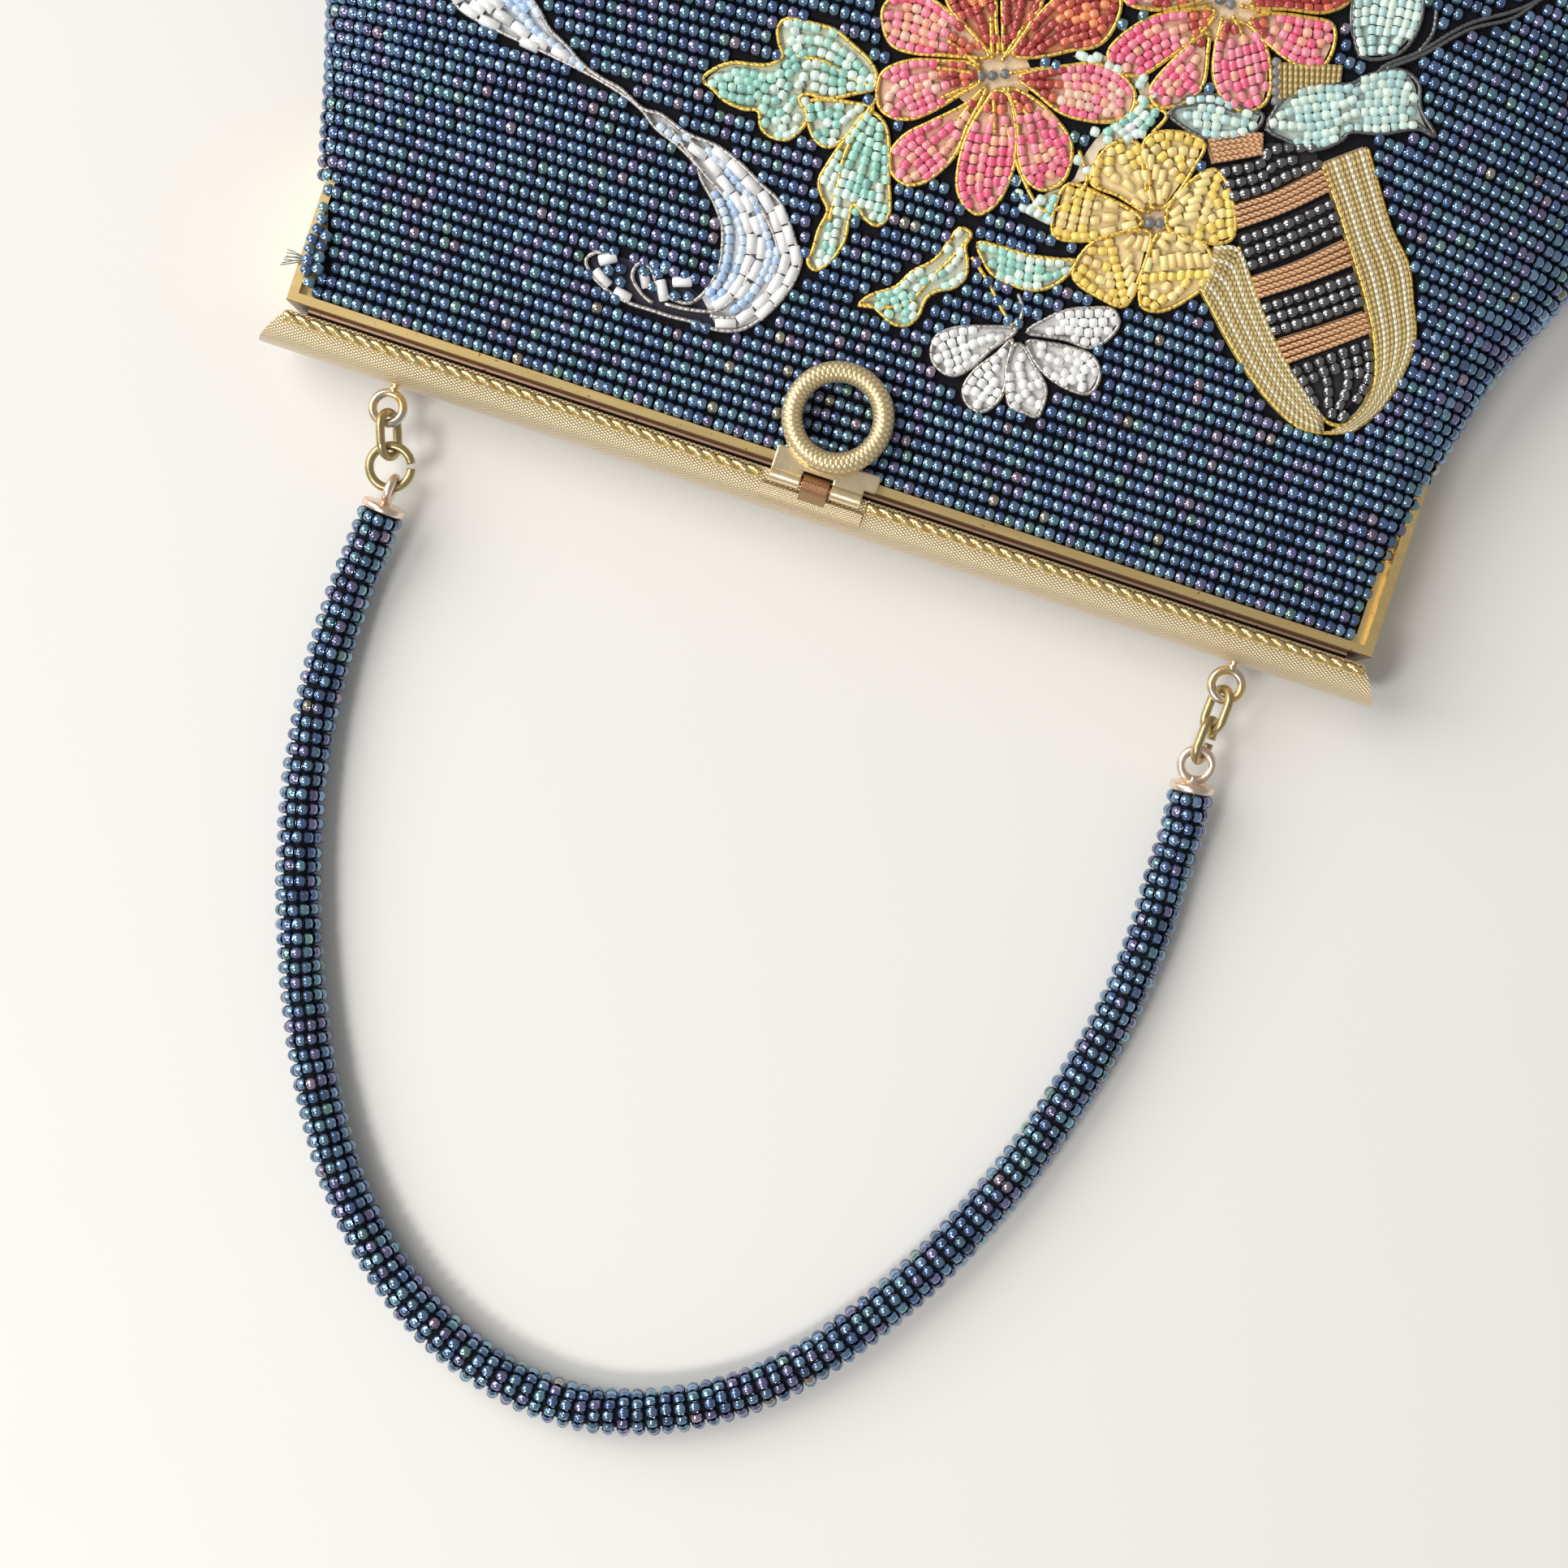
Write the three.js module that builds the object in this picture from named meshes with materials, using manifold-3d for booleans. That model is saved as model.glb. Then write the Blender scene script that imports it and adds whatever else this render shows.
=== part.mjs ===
// A beaded evening bag with a gilt frame, a lifting ring clasp and a handle of beaded rope.
// It lies on its back. X runs along the frame, Y from the handle to the bag's bottom, Z up.

import * as THREE from "three";
import { mergeVertices } from "three/addons/utils/BufferGeometryUtils.js";
import Module from "manifold-3d";

const wasm = await Module();
wasm.setup();

// Driving dimensions, in millimetres and degrees.
const clearance = 0.3;

const frameHalfWidth = 86.5;
const frameDepth = 14;
const frameLift = 1.2;
const frameTopGap = 1.2;
const bandWidth = 1.5;
const ledgeWidth = 1.4;
const ledgeThickness = 0.8;
const ledgeRecess = 1.6;
const lipThickness = 0.8;
const lipReach = 2;
const armLength = 37;
const hingePlateLength = 7;
const hingePlateReach = 4;
const hingePlateThickness = 0.6;
const rivetRadius = 1;
const rivetHeadRadius = 1.6;
const rivetHeadThickness = 0.4;

const barDepth = 12;
const barRise = 5.3;
const barWall = 0.8;
const barEdgeHalfLength = 86;
const barRidgeHalfLength = 90;

const earSpread = 68;
const earDiameter = 6.1;
const earNeckLength = 0.65;
const earNeckBite = 0.4;
const linkWire = 1.4;
const ovalLinkLength = 8.2;
const ovalLinkWidth = 5.8;
const openLinkLength = 8;
const openLinkWidth = 5.4;
const jumpRingDiameter = 7.9;
const wireGap = 0.7;
const leftEyeDiameter = 5.2;
const rightEyeDiameter = 6.2;
const capDiameter = 7;
const capThickness = 1.1;
const solderDepth = 0.15;

const ropeDiameter = 1.8;
const ropePitch = 4.8;
const ropeWaist = 0.2;
const ropeSeatAngle = 11;
const claspOffset = -1.5;
const claspGap = 0.4;

const claspPlateLength = 16.1;
const claspPlateThickness = 0.7;
const claspPlateStart = 22;
const claspPlateEnd = 48;
const claspBridgeReach = 8;
const claspWidth = 14.5;
const middleKnuckleWidth = 4.2;
const knuckleDiameter = 2.6;
const pinDiameter = 1.2;
const hingeInset = 0.6;
const hingeLift = 0.7;
const tabThickness = 1.3;
const tabLift = 0.4;
const tabSideReach = 1.8;
const tabBite = 0.6;
const ringDiameter = 17.1;
const ringWire = 3.3;
const ringReach = 10.6;
const ringStand = 2.45;

const bodyWall = 2.4;
const bodyLength = 146;
const bodyHalfWidth = 110;
const bodyDepth = 28;
const bottomSag = 9;
const bottomSeamDepth = 3.84;
const mouthProud = 0.8;

const handleDiameter = 7.4;
const handleLift = 0.05;
const handleStraightEnd = 5;

// The handle's route, chosen by hand: place along X and Y, and the rope's height over the table.
const handleRoute = [
  [-65.4, -39, 0.3],
  [-65.2, -50, 0],
  [-63.6, -64, 0],
  [-60.6, -77, 0],
  [-56.6, -89.5, 0],
  [-51.6, -101.5, 0],
  [-45.4, -113.5, 0],
  [-37.6, -125, 0],
  [-28, -134.8, 0],
  [-16.5, -142.2, 0],
  [-4, -146.3, 0],
  [9, -146.8, 0],
  [21.5, -143, 0],
  [32, -136.6, 0],
  [41, -127.8, 0],
  [48.6, -117, 0],
  [55, -105.6, 0],
  [60.4, -93.2, 0],
  [64.8, -79.5, 0],
  [68, -65.5, 0],
  [69.4, -51.5, 0],
  [69.2, -40, 0.3],
];

// The bag's sections from the frame to the bottom. along, lift and sag are shares of its length,
// its depth and its bottom sag. flare and swell run from the mouth's size at 0 to the full width
// and depth at 1, and swell falls to the bottom seam's depth at -1. square is 1 for a box-like
// section and 0 for a pillow-like one.
const bodySections = [
  { along: 0, flare: 0, swell: 0, lift: 0, sag: 0, square: 1 },
  { along: 0.168, flare: 0, swell: 0.1, lift: 0, sag: 0.04, square: 1 },
  { along: 0.186, flare: 0.225, swell: 0.16, lift: 0, sag: 0.07, square: 1 },
  { along: 0.23, flare: 0.31, swell: 0.26, lift: 0, sag: 0.15, square: 0.85 },
  { along: 0.3, flare: 0.42, swell: 0.45, lift: 0, sag: 0.3, square: 0.45 },
  { along: 0.4, flare: 0.57, swell: 0.7, lift: 0, sag: 0.46, square: 0.2 },
  { along: 0.53, flare: 0.76, swell: 0.91, lift: 0, sag: 0.62, square: 0.08 },
  { along: 0.66, flare: 0.91, swell: 1, lift: 0, sag: 0.76, square: 0 },
  { along: 0.78, flare: 0.99, swell: 0.95, lift: 0, sag: 0.88, square: 0 },
  { along: 0.86, flare: 0.97, swell: 0.72, lift: 0, sag: 0.95, square: 0 },
  { along: 0.92, flare: 0.82, swell: 0.32, lift: 0.02, sag: 1, square: 0 },
  { along: 0.965, flare: 0.53, swell: -0.2, lift: 0.06, sag: 1, square: 0 },
  { along: 0.99, flare: 0.16, swell: -0.72, lift: 0.13, sag: 1, square: 0 },
  { along: 1, flare: -0.1, swell: -1, lift: 0.19, sag: 1, square: 0 },
];
const closedInnerSections = 2;

// How a section's halves are rounded: powers of a circle's, from a pillow's to a box's. The side
// lies at a share of the depth, and the underside is pressed flat by a factor.
const pillowTopPower = 2.3;
const pillowUnderPower = 5;
const boxPower = 9;
const sideShare = 0.42;
const underPressing = 1.12;

// Numbers of faces.
const sectionPoints = 40;
const wireSides = 6;
const ringSides = 16;
const solderedRing = { sides: 8, around: 20 };
const claspRingFaces = { sides: 12, around: 32 };
const barFaces = 16;
const plateFaces = 6;
const capSides = 24;
const ropeSides = 8;
const ropeStepsPerPitch = 6;
const handleSides = 12;
const handleSteps = 64;

const weldDistance = 1e-4;
const toRadians = Math.PI / 180;

// Places that follow from the sizes.
const midHeight = frameLift + frameDepth / 2;
const frameFront = frameLift + frameDepth;
const armInnerX = frameHalfWidth - bandWidth;
const bandInnerY = frameTopGap + bandWidth;
const armEndY = frameTopGap + armLength;
const plateStartY = armEndY - hingePlateLength;
const rivetY = armEndY - hingePlateLength / 2;
const rivetStartX = armInnerX - clearance - rivetHeadThickness;
const rivetEndX = frameHalfWidth + clearance + rivetHeadThickness;
const earY = -barRise - earNeckLength - earDiameter / 2;
const mouthHalfWidth = armInnerX - ledgeWidth - clearance;
const mouthDepth = frameFront + mouthProud;
const mouthY = bandInnerY + ledgeWidth + clearance;
const hingeY = -hingeInset;
const hingeZ = frameFront + hingeLift;
const linkPass = linkWire + clearance;

const finishes = {
  gilt: { color: 0xd8b25c, roughness: 0.28, metalness: 1 },
  champagne: { color: 0xd9bf8c, roughness: 0.36, metalness: 1 },
  aged: { color: 0x8d7440, roughness: 0.45, metalness: 1 },
  rose: { color: 0xcfa88a, roughness: 0.35, metalness: 1 },
  steel: { color: 0xa9957a, roughness: 0.4, metalness: 1 },
  beads: { color: 0x1c2545, roughness: 0.3, metalness: 0.3 },
};

const bag = new THREE.Group();

function addPiece(parent, name, geometry, finish) {
  const mesh = new THREE.Mesh(geometry, new THREE.MeshStandardMaterial(finishes[finish]));
  mesh.name = name;
  parent.add(mesh);
  return mesh;
}

// A closed geometry as a solid that can be joined and cut.
function solid(geometry) {
  const bare = geometry.clone();
  bare.deleteAttribute("normal");
  bare.deleteAttribute("uv");
  const merged = mergeVertices(bare, weldDistance);
  return new wasm.Manifold(
    new wasm.Mesh({
      numProp: 3,
      vertProperties: new Float32Array(merged.attributes.position.array),
      triVerts: new Uint32Array(merged.index.array),
    }),
  );
}

function geometryOf(made) {
  const mesh = made.getMesh();
  const geometry = new THREE.BufferGeometry();
  geometry.setAttribute("position", new THREE.BufferAttribute(mesh.vertProperties, 3));
  geometry.setIndex(new THREE.BufferAttribute(mesh.triVerts, 1));
  geometry.computeVertexNormals();
  return geometry;
}

function joined(geometries) {
  return geometries.map(solid).reduce((whole, piece) => whole.add(piece));
}

// A box between two values on each axis.
function block([x0, x1], [y0, y1], [z0, z1]) {
  const box = new THREE.BoxGeometry(x1 - x0, y1 - y0, z1 - z0);
  return box.translate((x0 + x1) / 2, (y0 + y1) / 2, (z0 + z1) / 2);
}

// A round bar along X, between two values of X, about the line at y and z.
function roundAlongX(radius, [x0, x1], y, z, sides = ringSides) {
  const rod = new THREE.CylinderGeometry(radius, radius, x1 - x0, sides);
  return rod.rotateZ(Math.PI / 2).translate((x0 + x1) / 2, y, z);
}

function indexedGeometry(points, triangles) {
  const geometry = new THREE.BufferGeometry();
  const values = points.flatMap((point) => [point.x, point.y, point.z]);
  geometry.setAttribute("position", new THREE.Float32BufferAttribute(values, 3));
  geometry.setIndex(triangles);
  geometry.computeVertexNormals();
  return geometry;
}

// An outline in Y and Z, anticlockwise as seen from +X, carried along X between two end faces
// whose X may depend on the point.
function prismAlongX(outline, startX, endX) {
  const place = (end, point) => (typeof end === "function" ? end(point) : end);
  const ring = (end) =>
    outline.map((point) => new THREE.Vector3(place(end, point), point.x, point.y));
  const count = outline.length;
  const triangles = [];
  for (let i = 0; i < count; i += 1) {
    const j = (i + 1) % count;
    triangles.push(i, j, count + j, i, count + j, count + i);
  }
  for (const [a, b, c] of THREE.ShapeUtils.triangulateShape(outline, [])) {
    triangles.push(count + a, count + b, count + c, a, c, b);
  }
  return indexedGeometry([...ring(startX), ...ring(endX)], triangles);
}

// A round wire bent along points of the XY plane, as a closed link or with two cut ends.
function bentWire(points, diameter, closed) {
  const count = points.length;
  const vertices = [];
  points.forEach((point, i) => {
    const before = points[closed ? (i + count - 1) % count : Math.max(i - 1, 0)];
    const after = points[closed ? (i + 1) % count : Math.min(i + 1, count - 1)];
    const along = after.clone().sub(before).normalize();
    for (let side = 0; side < wireSides; side += 1) {
      const angle = (2 * Math.PI * side) / wireSides;
      const out = (Math.cos(angle) * diameter) / 2;
      const up = (Math.sin(angle) * diameter) / 2;
      vertices.push(new THREE.Vector3(point.x + along.y * out, point.y - along.x * out, up));
    }
  });
  const triangles = [];
  const lastSpan = closed ? count : count - 1;
  for (let i = 0; i < lastSpan; i += 1) {
    const here = i * wireSides;
    const next = ((i + 1) % count) * wireSides;
    for (let side = 0; side < wireSides; side += 1) {
      const other = (side + 1) % wireSides;
      triangles.push(here + side, next + other, here + other);
      triangles.push(here + side, next + side, next + other);
    }
  }
  if (!closed) {
    const end = (count - 1) * wireSides;
    for (let side = 1; side < wireSides - 1; side += 1) {
      triangles.push(0, side, side + 1, end, end + side + 1, end + side);
    }
  }
  return indexedGeometry(vertices, triangles);
}

// The middle line of a link with straight sides and round ends, its gap, if any, on the +X side.
function linkLine(length, width, gap = 0) {
  const radius = (width - linkWire) / 2;
  const straight = (length - width) / 2;
  const points = [];
  if (gap > 0) points.push(new THREE.Vector2(radius, gap / 2));
  for (const [start, middle] of [[0, straight], [Math.PI, -straight]]) {
    for (let i = 0; i <= ringSides / 2; i += 1) {
      const angle = start + (2 * Math.PI * i) / ringSides;
      const point = new THREE.Vector2(
        radius * Math.cos(angle),
        middle + radius * Math.sin(angle),
      );
      points.push(point);
    }
  }
  if (gap > 0) points.push(new THREE.Vector2(radius, -gap / 2));
  return points;
}

// A round ring in the XY plane, with its cut on the +X side.
function cutRingLine(diameter, gap) {
  const radius = (diameter - linkWire) / 2;
  const start = gap / radius / 2;
  const span = 2 * Math.PI - 2 * start;
  return Array.from({ length: ringSides + 1 }, (_, i) => {
    const angle = start + (span * i) / ringSides;
    return new THREE.Vector2(radius * Math.cos(angle), radius * Math.sin(angle));
  });
}

function roundRing(diameter, wire, { sides, around }) {
  return new THREE.TorusGeometry((diameter - wire) / 2, wire / 2, sides, around);
}

// A point of the bar's cross-section, at an angle from its front edge and an offset from its skin.
function barPoint(degrees, offset) {
  const angle = degrees * toRadians;
  return new THREE.Vector2(
    -(barRise + offset) * Math.sin(angle),
    midHeight + (barDepth / 2 + offset) * Math.cos(angle),
  );
}

function arcOnBar(from, to, offset, steps) {
  const angles = Array.from({ length: steps + 1 }, (_, i) => from + ((to - from) * i) / steps);
  return angles.map((angle) => barPoint(angle, offset));
}

// The roof bar: a half-tube over the frame's top, its ends cut obliquely, with both ears soldered on.
function roofBar() {
  const outline = [...arcOnBar(0, 180, 0, barFaces), ...arcOnBar(180, 0, -barWall, barFaces)];
  const halfLength = (point) => {
    const share = Math.max(-point.x, 0) / barRise;
    return barEdgeHalfLength + (barRidgeHalfLength - barEdgeHalfLength) * share;
  };
  const pieces = [prismAlongX(outline, (point) => -halfLength(point), halfLength)];
  for (const side of [-1, 1]) {
    const ear = roundRing(earDiameter, linkWire, solderedRing);
    pieces.push(ear.translate(side * earSpread, earY, midHeight));
    const halfNeck = linkWire / 2;
    const neck = block(
      [-halfNeck, halfNeck],
      [earY + earDiameter / 2 - halfNeck, -barRise + earNeckBite],
      [-halfNeck, halfNeck],
    );
    pieces.push(neck.translate(side * earSpread, 0, midHeight));
  }
  return geometryOf(joined(pieces));
}

addPiece(bag, "roof_bar", roofBar(), "champagne");

// The twisted wire on the bar's front edge: a two-strand section turning along X.
function twistedWire(startX, endX) {
  const steps = Math.round((ropeStepsPerPitch * (endX - startX)) / ropePitch);
  const sides = ropeSides;
  const seat = barPoint(ropeSeatAngle, clearance + ropeDiameter / 2);
  const points = [];
  for (let i = 0; i <= steps; i += 1) {
    const x = startX + ((endX - startX) * i) / steps;
    const turn = (2 * Math.PI * (x - startX)) / ropePitch;
    for (let side = 0; side < sides; side += 1) {
      const angle = (2 * Math.PI * side) / sides;
      const radius = (ropeDiameter / 2) * (1 - ropeWaist + ropeWaist * Math.cos(2 * angle));
      const y = seat.x + radius * Math.cos(angle + turn);
      const z = seat.y + radius * Math.sin(angle + turn);
      points.push(new THREE.Vector3(x, y, z));
    }
  }
  const triangles = [];
  for (let i = 0; i < steps; i += 1) {
    for (let side = 0; side < sides; side += 1) {
      const here = i * sides + side;
      const other = i * sides + ((side + 1) % sides);
      triangles.push(here, other, other + sides, here, other + sides, here + sides);
    }
  }
  const end = steps * sides;
  for (let side = 1; side < sides - 1; side += 1) {
    triangles.push(0, side + 1, side, end, end + side, end + side + 1);
  }
  return indexedGeometry(points, triangles);
}

const plateLeftX = claspOffset - claspPlateLength / 2;
const plateRightX = claspOffset + claspPlateLength / 2;
const leftRope = twistedWire(-barEdgeHalfLength, plateLeftX - claspGap);
const rightRope = twistedWire(plateRightX + claspGap, barEdgeHalfLength);
addPiece(bag, "rope_trim_left", leftRope, "gilt");
addPiece(bag, "rope_trim_right", rightRope, "gilt");

// One half of the frame: a rail and two arms, a recessed ledge inside them for the cloth, a lip
// that goes up into the roof bar, and a hinge plate at each arm's end. facing is 1 in front.
function frameHalf(facing) {
  const heights = (low, high) =>
    facing > 0 ? [midHeight + low, midHeight + high] : [midHeight - high, midHeight - low];
  const halfDepth = frameDepth / 2;
  const wall = heights(clearance / 2, halfDepth);
  const ledge = heights(halfDepth - ledgeRecess - ledgeThickness, halfDepth - ledgeRecess);
  const lipShare = Math.sqrt(1 - (lipReach / (barRise - barWall)) ** 2);
  const lipTop = (barDepth / 2 - barWall) * lipShare - clearance;
  const lip = heights(lipTop - lipThickness, lipTop);
  const bite = bandWidth / 2;
  const pieces = [
    block([-frameHalfWidth, frameHalfWidth], [frameTopGap, bandInnerY], wall),
    block([-armInnerX - bite, armInnerX + bite], [bandInnerY - bite, bandInnerY + ledgeWidth], ledge),
    block([-mouthHalfWidth, mouthHalfWidth], [-lipReach, frameTopGap + bite], lip),
  ];
  const plateX =
    facing > 0
      ? [armInnerX, armInnerX + hingePlateThickness]
      : [frameHalfWidth - hingePlateThickness, frameHalfWidth];
  for (const side of [-1, 1]) {
    const across = ([x0, x1]) => (side > 0 ? [x0, x1] : [-x1, -x0]);
    const arm = [frameTopGap, plateStartY];
    pieces.push(block(across([armInnerX, frameHalfWidth]), arm, wall));
    const shelf = [armInnerX - ledgeWidth, armInnerX + bite];
    pieces.push(block(across(shelf), [bandInnerY - bite, plateStartY - clearance], ledge));
    pieces.push(block(across(plateX), [plateStartY - bite, armEndY], wall));
    const reach = heights(-hingePlateReach, halfDepth);
    pieces.push(block(across(plateX), [plateStartY + clearance, armEndY], reach));
  }
  const hole = rivetRadius + clearance;
  const drill = roundAlongX(hole, [-rivetEndX, rivetEndX], rivetY, midHeight);
  return geometryOf(joined(pieces).subtract(solid(drill)));
}

addPiece(bag, "frame_front", frameHalf(1), "gilt");
addPiece(bag, "frame_back", frameHalf(-1), "gilt");

// The hidden rivets through both hinge plates.
for (const [name, side] of [["hinge_rivet_left", -1], ["hinge_rivet_right", 1]]) {
  const rivet = joined([
    roundAlongX(rivetRadius, [rivetStartX, rivetEndX], 0, 0),
    roundAlongX(rivetHeadRadius, [rivetStartX, rivetStartX + rivetHeadThickness], 0, 0),
    roundAlongX(rivetHeadRadius, [rivetEndX - rivetHeadThickness, rivetEndX], 0, 0),
  ]);
  const geometry = geometryOf(rivet);
  const piece = addPiece(bag, name, geometry, "steel");
  piece.position.set(0, rivetY, midHeight);
  piece.rotation.z = side > 0 ? 0 : Math.PI;
}

// The clasp: a cover plate on the bar with a middle knuckle, a pin, and a ring on a flat tab that
// has the two outer knuckles. It lifts about the pin.
const middleLeftX = claspOffset - middleKnuckleWidth / 2;
const middleRightX = claspOffset + middleKnuckleWidth / 2;
const claspLeftX = claspOffset - claspWidth / 2;
const claspRightX = claspOffset + claspWidth / 2;
const pinHole = pinDiameter / 2 + clearance;

function claspPlate() {
  const skin = clearance + claspPlateThickness;
  const cover = [
    ...arcOnBar(claspPlateStart, claspPlateEnd, skin, plateFaces),
    ...arcOnBar(claspPlateEnd, claspPlateStart, clearance, plateFaces),
  ];
  const bridgeRoot = claspPlateStart + claspBridgeReach;
  const bridge = [
    new THREE.Vector2(hingeY, hingeZ),
    barPoint(bridgeRoot, skin),
    barPoint(bridgeRoot, clearance + claspPlateThickness / 2),
    new THREE.Vector2(hingeY, hingeZ - knuckleDiameter / 2 + solderDepth),
  ];
  const made = joined([
    prismAlongX(cover, plateLeftX, plateRightX),
    prismAlongX(bridge, middleLeftX, middleRightX),
    roundAlongX(knuckleDiameter / 2, [middleLeftX, middleRightX], hingeY, hingeZ),
  ]);
  const drill = roundAlongX(pinHole, [plateLeftX, plateRightX], hingeY, hingeZ);
  return geometryOf(made.subtract(solid(drill)));
}

function claspRing() {
  const ringY = hingeY + ringReach;
  const ring = roundRing(ringDiameter, ringWire, claspRingFaces);
  const tabBottom = frameFront + tabLift;
  const tabEndY = ringY - (ringDiameter - ringWire) / 2 + tabBite;
  const tab = block(
    [claspLeftX, claspRightX + tabSideReach],
    [hingeY + knuckleDiameter / 2 + clearance, tabEndY],
    [tabBottom, tabBottom + tabThickness],
  );
  const pieces = [ring.translate(claspOffset, ringY, hingeZ + ringStand), tab];
  const spans = [
    [claspLeftX, middleLeftX - clearance],
    [middleRightX + clearance, claspRightX],
  ];
  for (const span of spans) {
    pieces.push(roundAlongX(knuckleDiameter / 2, span, hingeY, hingeZ));
    const root = [hingeY, hingeY + knuckleDiameter];
    pieces.push(block(span, root, [tabBottom, tabBottom + tabThickness]));
  }
  const drill = roundAlongX(pinHole, [plateLeftX, plateRightX], hingeY, hingeZ);
  return geometryOf(joined(pieces).subtract(solid(drill)));
}

addPiece(bag, "clasp_plate", claspPlate(), "champagne");
const pin = roundAlongX(pinDiameter / 2, [claspLeftX, claspRightX], hingeY, hingeZ);
addPiece(bag, "clasp_pin", pin, "steel");
addPiece(bag, "clasp_ring", claspRing(), "gilt");

// The chains. Each is a group at its ear, turned so that it runs along its own -Y, and a link
// that hangs in the one before is set back by a wire and its clearance.
function turned(heading, slope) {
  const group = new THREE.Group();
  group.rotation.set(slope * toRadians, 0, heading * toRadians, "ZXY");
  return group;
}

function hangLink(chain, name, geometry, { start, reach, twist }) {
  const link = addPiece(chain, name, geometry, "aged");
  link.position.y = -(start + reach);
  link.rotation.y = twist * toRadians;
}

// An end cap: the handle's disc with its eye soldered on, the eye's middle at the origin.
function endCap(eyeDiameter, eyeTwist) {
  const discTop = eyeDiameter / 2 - solderDepth;
  const capRadius = capDiameter / 2;
  const disc = new THREE.CylinderGeometry(capRadius, capRadius, capThickness, capSides);
  const eye = roundRing(eyeDiameter, linkWire, solderedRing).rotateY(eyeTwist * toRadians);
  return geometryOf(joined([disc.translate(0, -discTop - capThickness / 2, 0), eye]));
}

const earHook = earDiameter / 2 - linkWire / 2 - linkPass;
const ovalGeometry = bentWire(linkLine(ovalLinkLength, ovalLinkWidth), linkWire, true);
const openGeometry = bentWire(linkLine(openLinkLength, openLinkWidth, wireGap), linkWire, false);
const jumpGeometry = bentWire(cutRingLine(jumpRingDiameter, wireGap), linkWire, false);

const chains = [
  {
    side: "left",
    earX: -earSpread,
    heading: 20,
    slope: 6,
    oval: 62,
    second: { name: "jump_ring_left", geometry: jumpGeometry, length: jumpRingDiameter, twist: 0 },
    eye: { diameter: leftEyeDiameter, twist: 90 },
    cap: { heading: -5, slope: 10 },
  },
  {
    side: "right",
    earX: earSpread,
    heading: -2,
    slope: 6,
    oval: -60,
    second: { name: "open_link_right", geometry: openGeometry, length: openLinkLength, twist: 60 },
    eye: { diameter: rightEyeDiameter, twist: 0 },
    cap: { heading: 8, slope: 10 },
  },
];

// Each chain returns the line that the handle leaves its cap along.
function hangChain({ side, earX, heading, slope, oval, second, eye, cap }) {
  const chain = turned(heading, slope);
  chain.position.set(earX, earY, midHeight);
  const ovalReach = (ovalLinkLength - linkWire) / 2;
  const secondReach = (second.length - linkWire) / 2;
  const secondStart = earHook + 2 * ovalReach - linkPass;
  hangLink(chain, `oval_link_${side}`, ovalGeometry, {
    start: earHook,
    reach: ovalReach,
    twist: oval,
  });
  hangLink(chain, second.name, second.geometry, {
    start: secondStart,
    reach: secondReach,
    twist: second.twist,
  });
  bag.add(chain);
  chain.updateMatrixWorld(true);
  const lastWire = chain.localToWorld(
    new THREE.Vector3(0, -(secondStart + 2 * secondReach), 0),
  );
  const end = turned(cap.heading, cap.slope);
  const eyeReach = (eye.diameter - linkWire) / 2;
  const leaving = new THREE.Vector3(0, -1, 0).applyEuler(end.rotation);
  end.position.copy(lastWire).addScaledVector(leaving, eyeReach - linkPass);
  addPiece(end, `end_cap_${side}`, endCap(eye.diameter, eye.twist), "rose");
  bag.add(end);
  const capReach = eye.diameter / 2 - solderDepth + capThickness + clearance;
  return { start: end.position.clone().addScaledVector(leaving, capReach), leaving };
}

const [leftEnd, rightEnd] = chains.map(hangChain);

// The handle: one rope from cap to cap. It lies on the table and rises to its caps.
const handleHeight = handleDiameter / 2 + handleLift;
const routePoints = [
  leftEnd.start,
  leftEnd.start.clone().addScaledVector(leftEnd.leaving, handleStraightEnd),
  ...handleRoute.map(([x, y, rise]) => new THREE.Vector3(x, y, handleHeight + rise)),
  rightEnd.start.clone().addScaledVector(rightEnd.leaving, handleStraightEnd),
  rightEnd.start,
];
const handleCurve = new THREE.CatmullRomCurve3(routePoints, false, "centripetal");
const handleSection = new THREE.Shape(
  Array.from({ length: handleSides }, (_, i) => {
    const angle = (2 * Math.PI * i) / handleSides;
    const radius = handleDiameter / 2;
    return new THREE.Vector2(radius * Math.cos(angle), radius * Math.sin(angle));
  }),
);
const handleGeometry = new THREE.ExtrudeGeometry(handleSection, {
  steps: handleSteps,
  extrudePath: handleCurve,
});
addPiece(bag, "handle_rope", handleGeometry, "beads");

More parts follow.
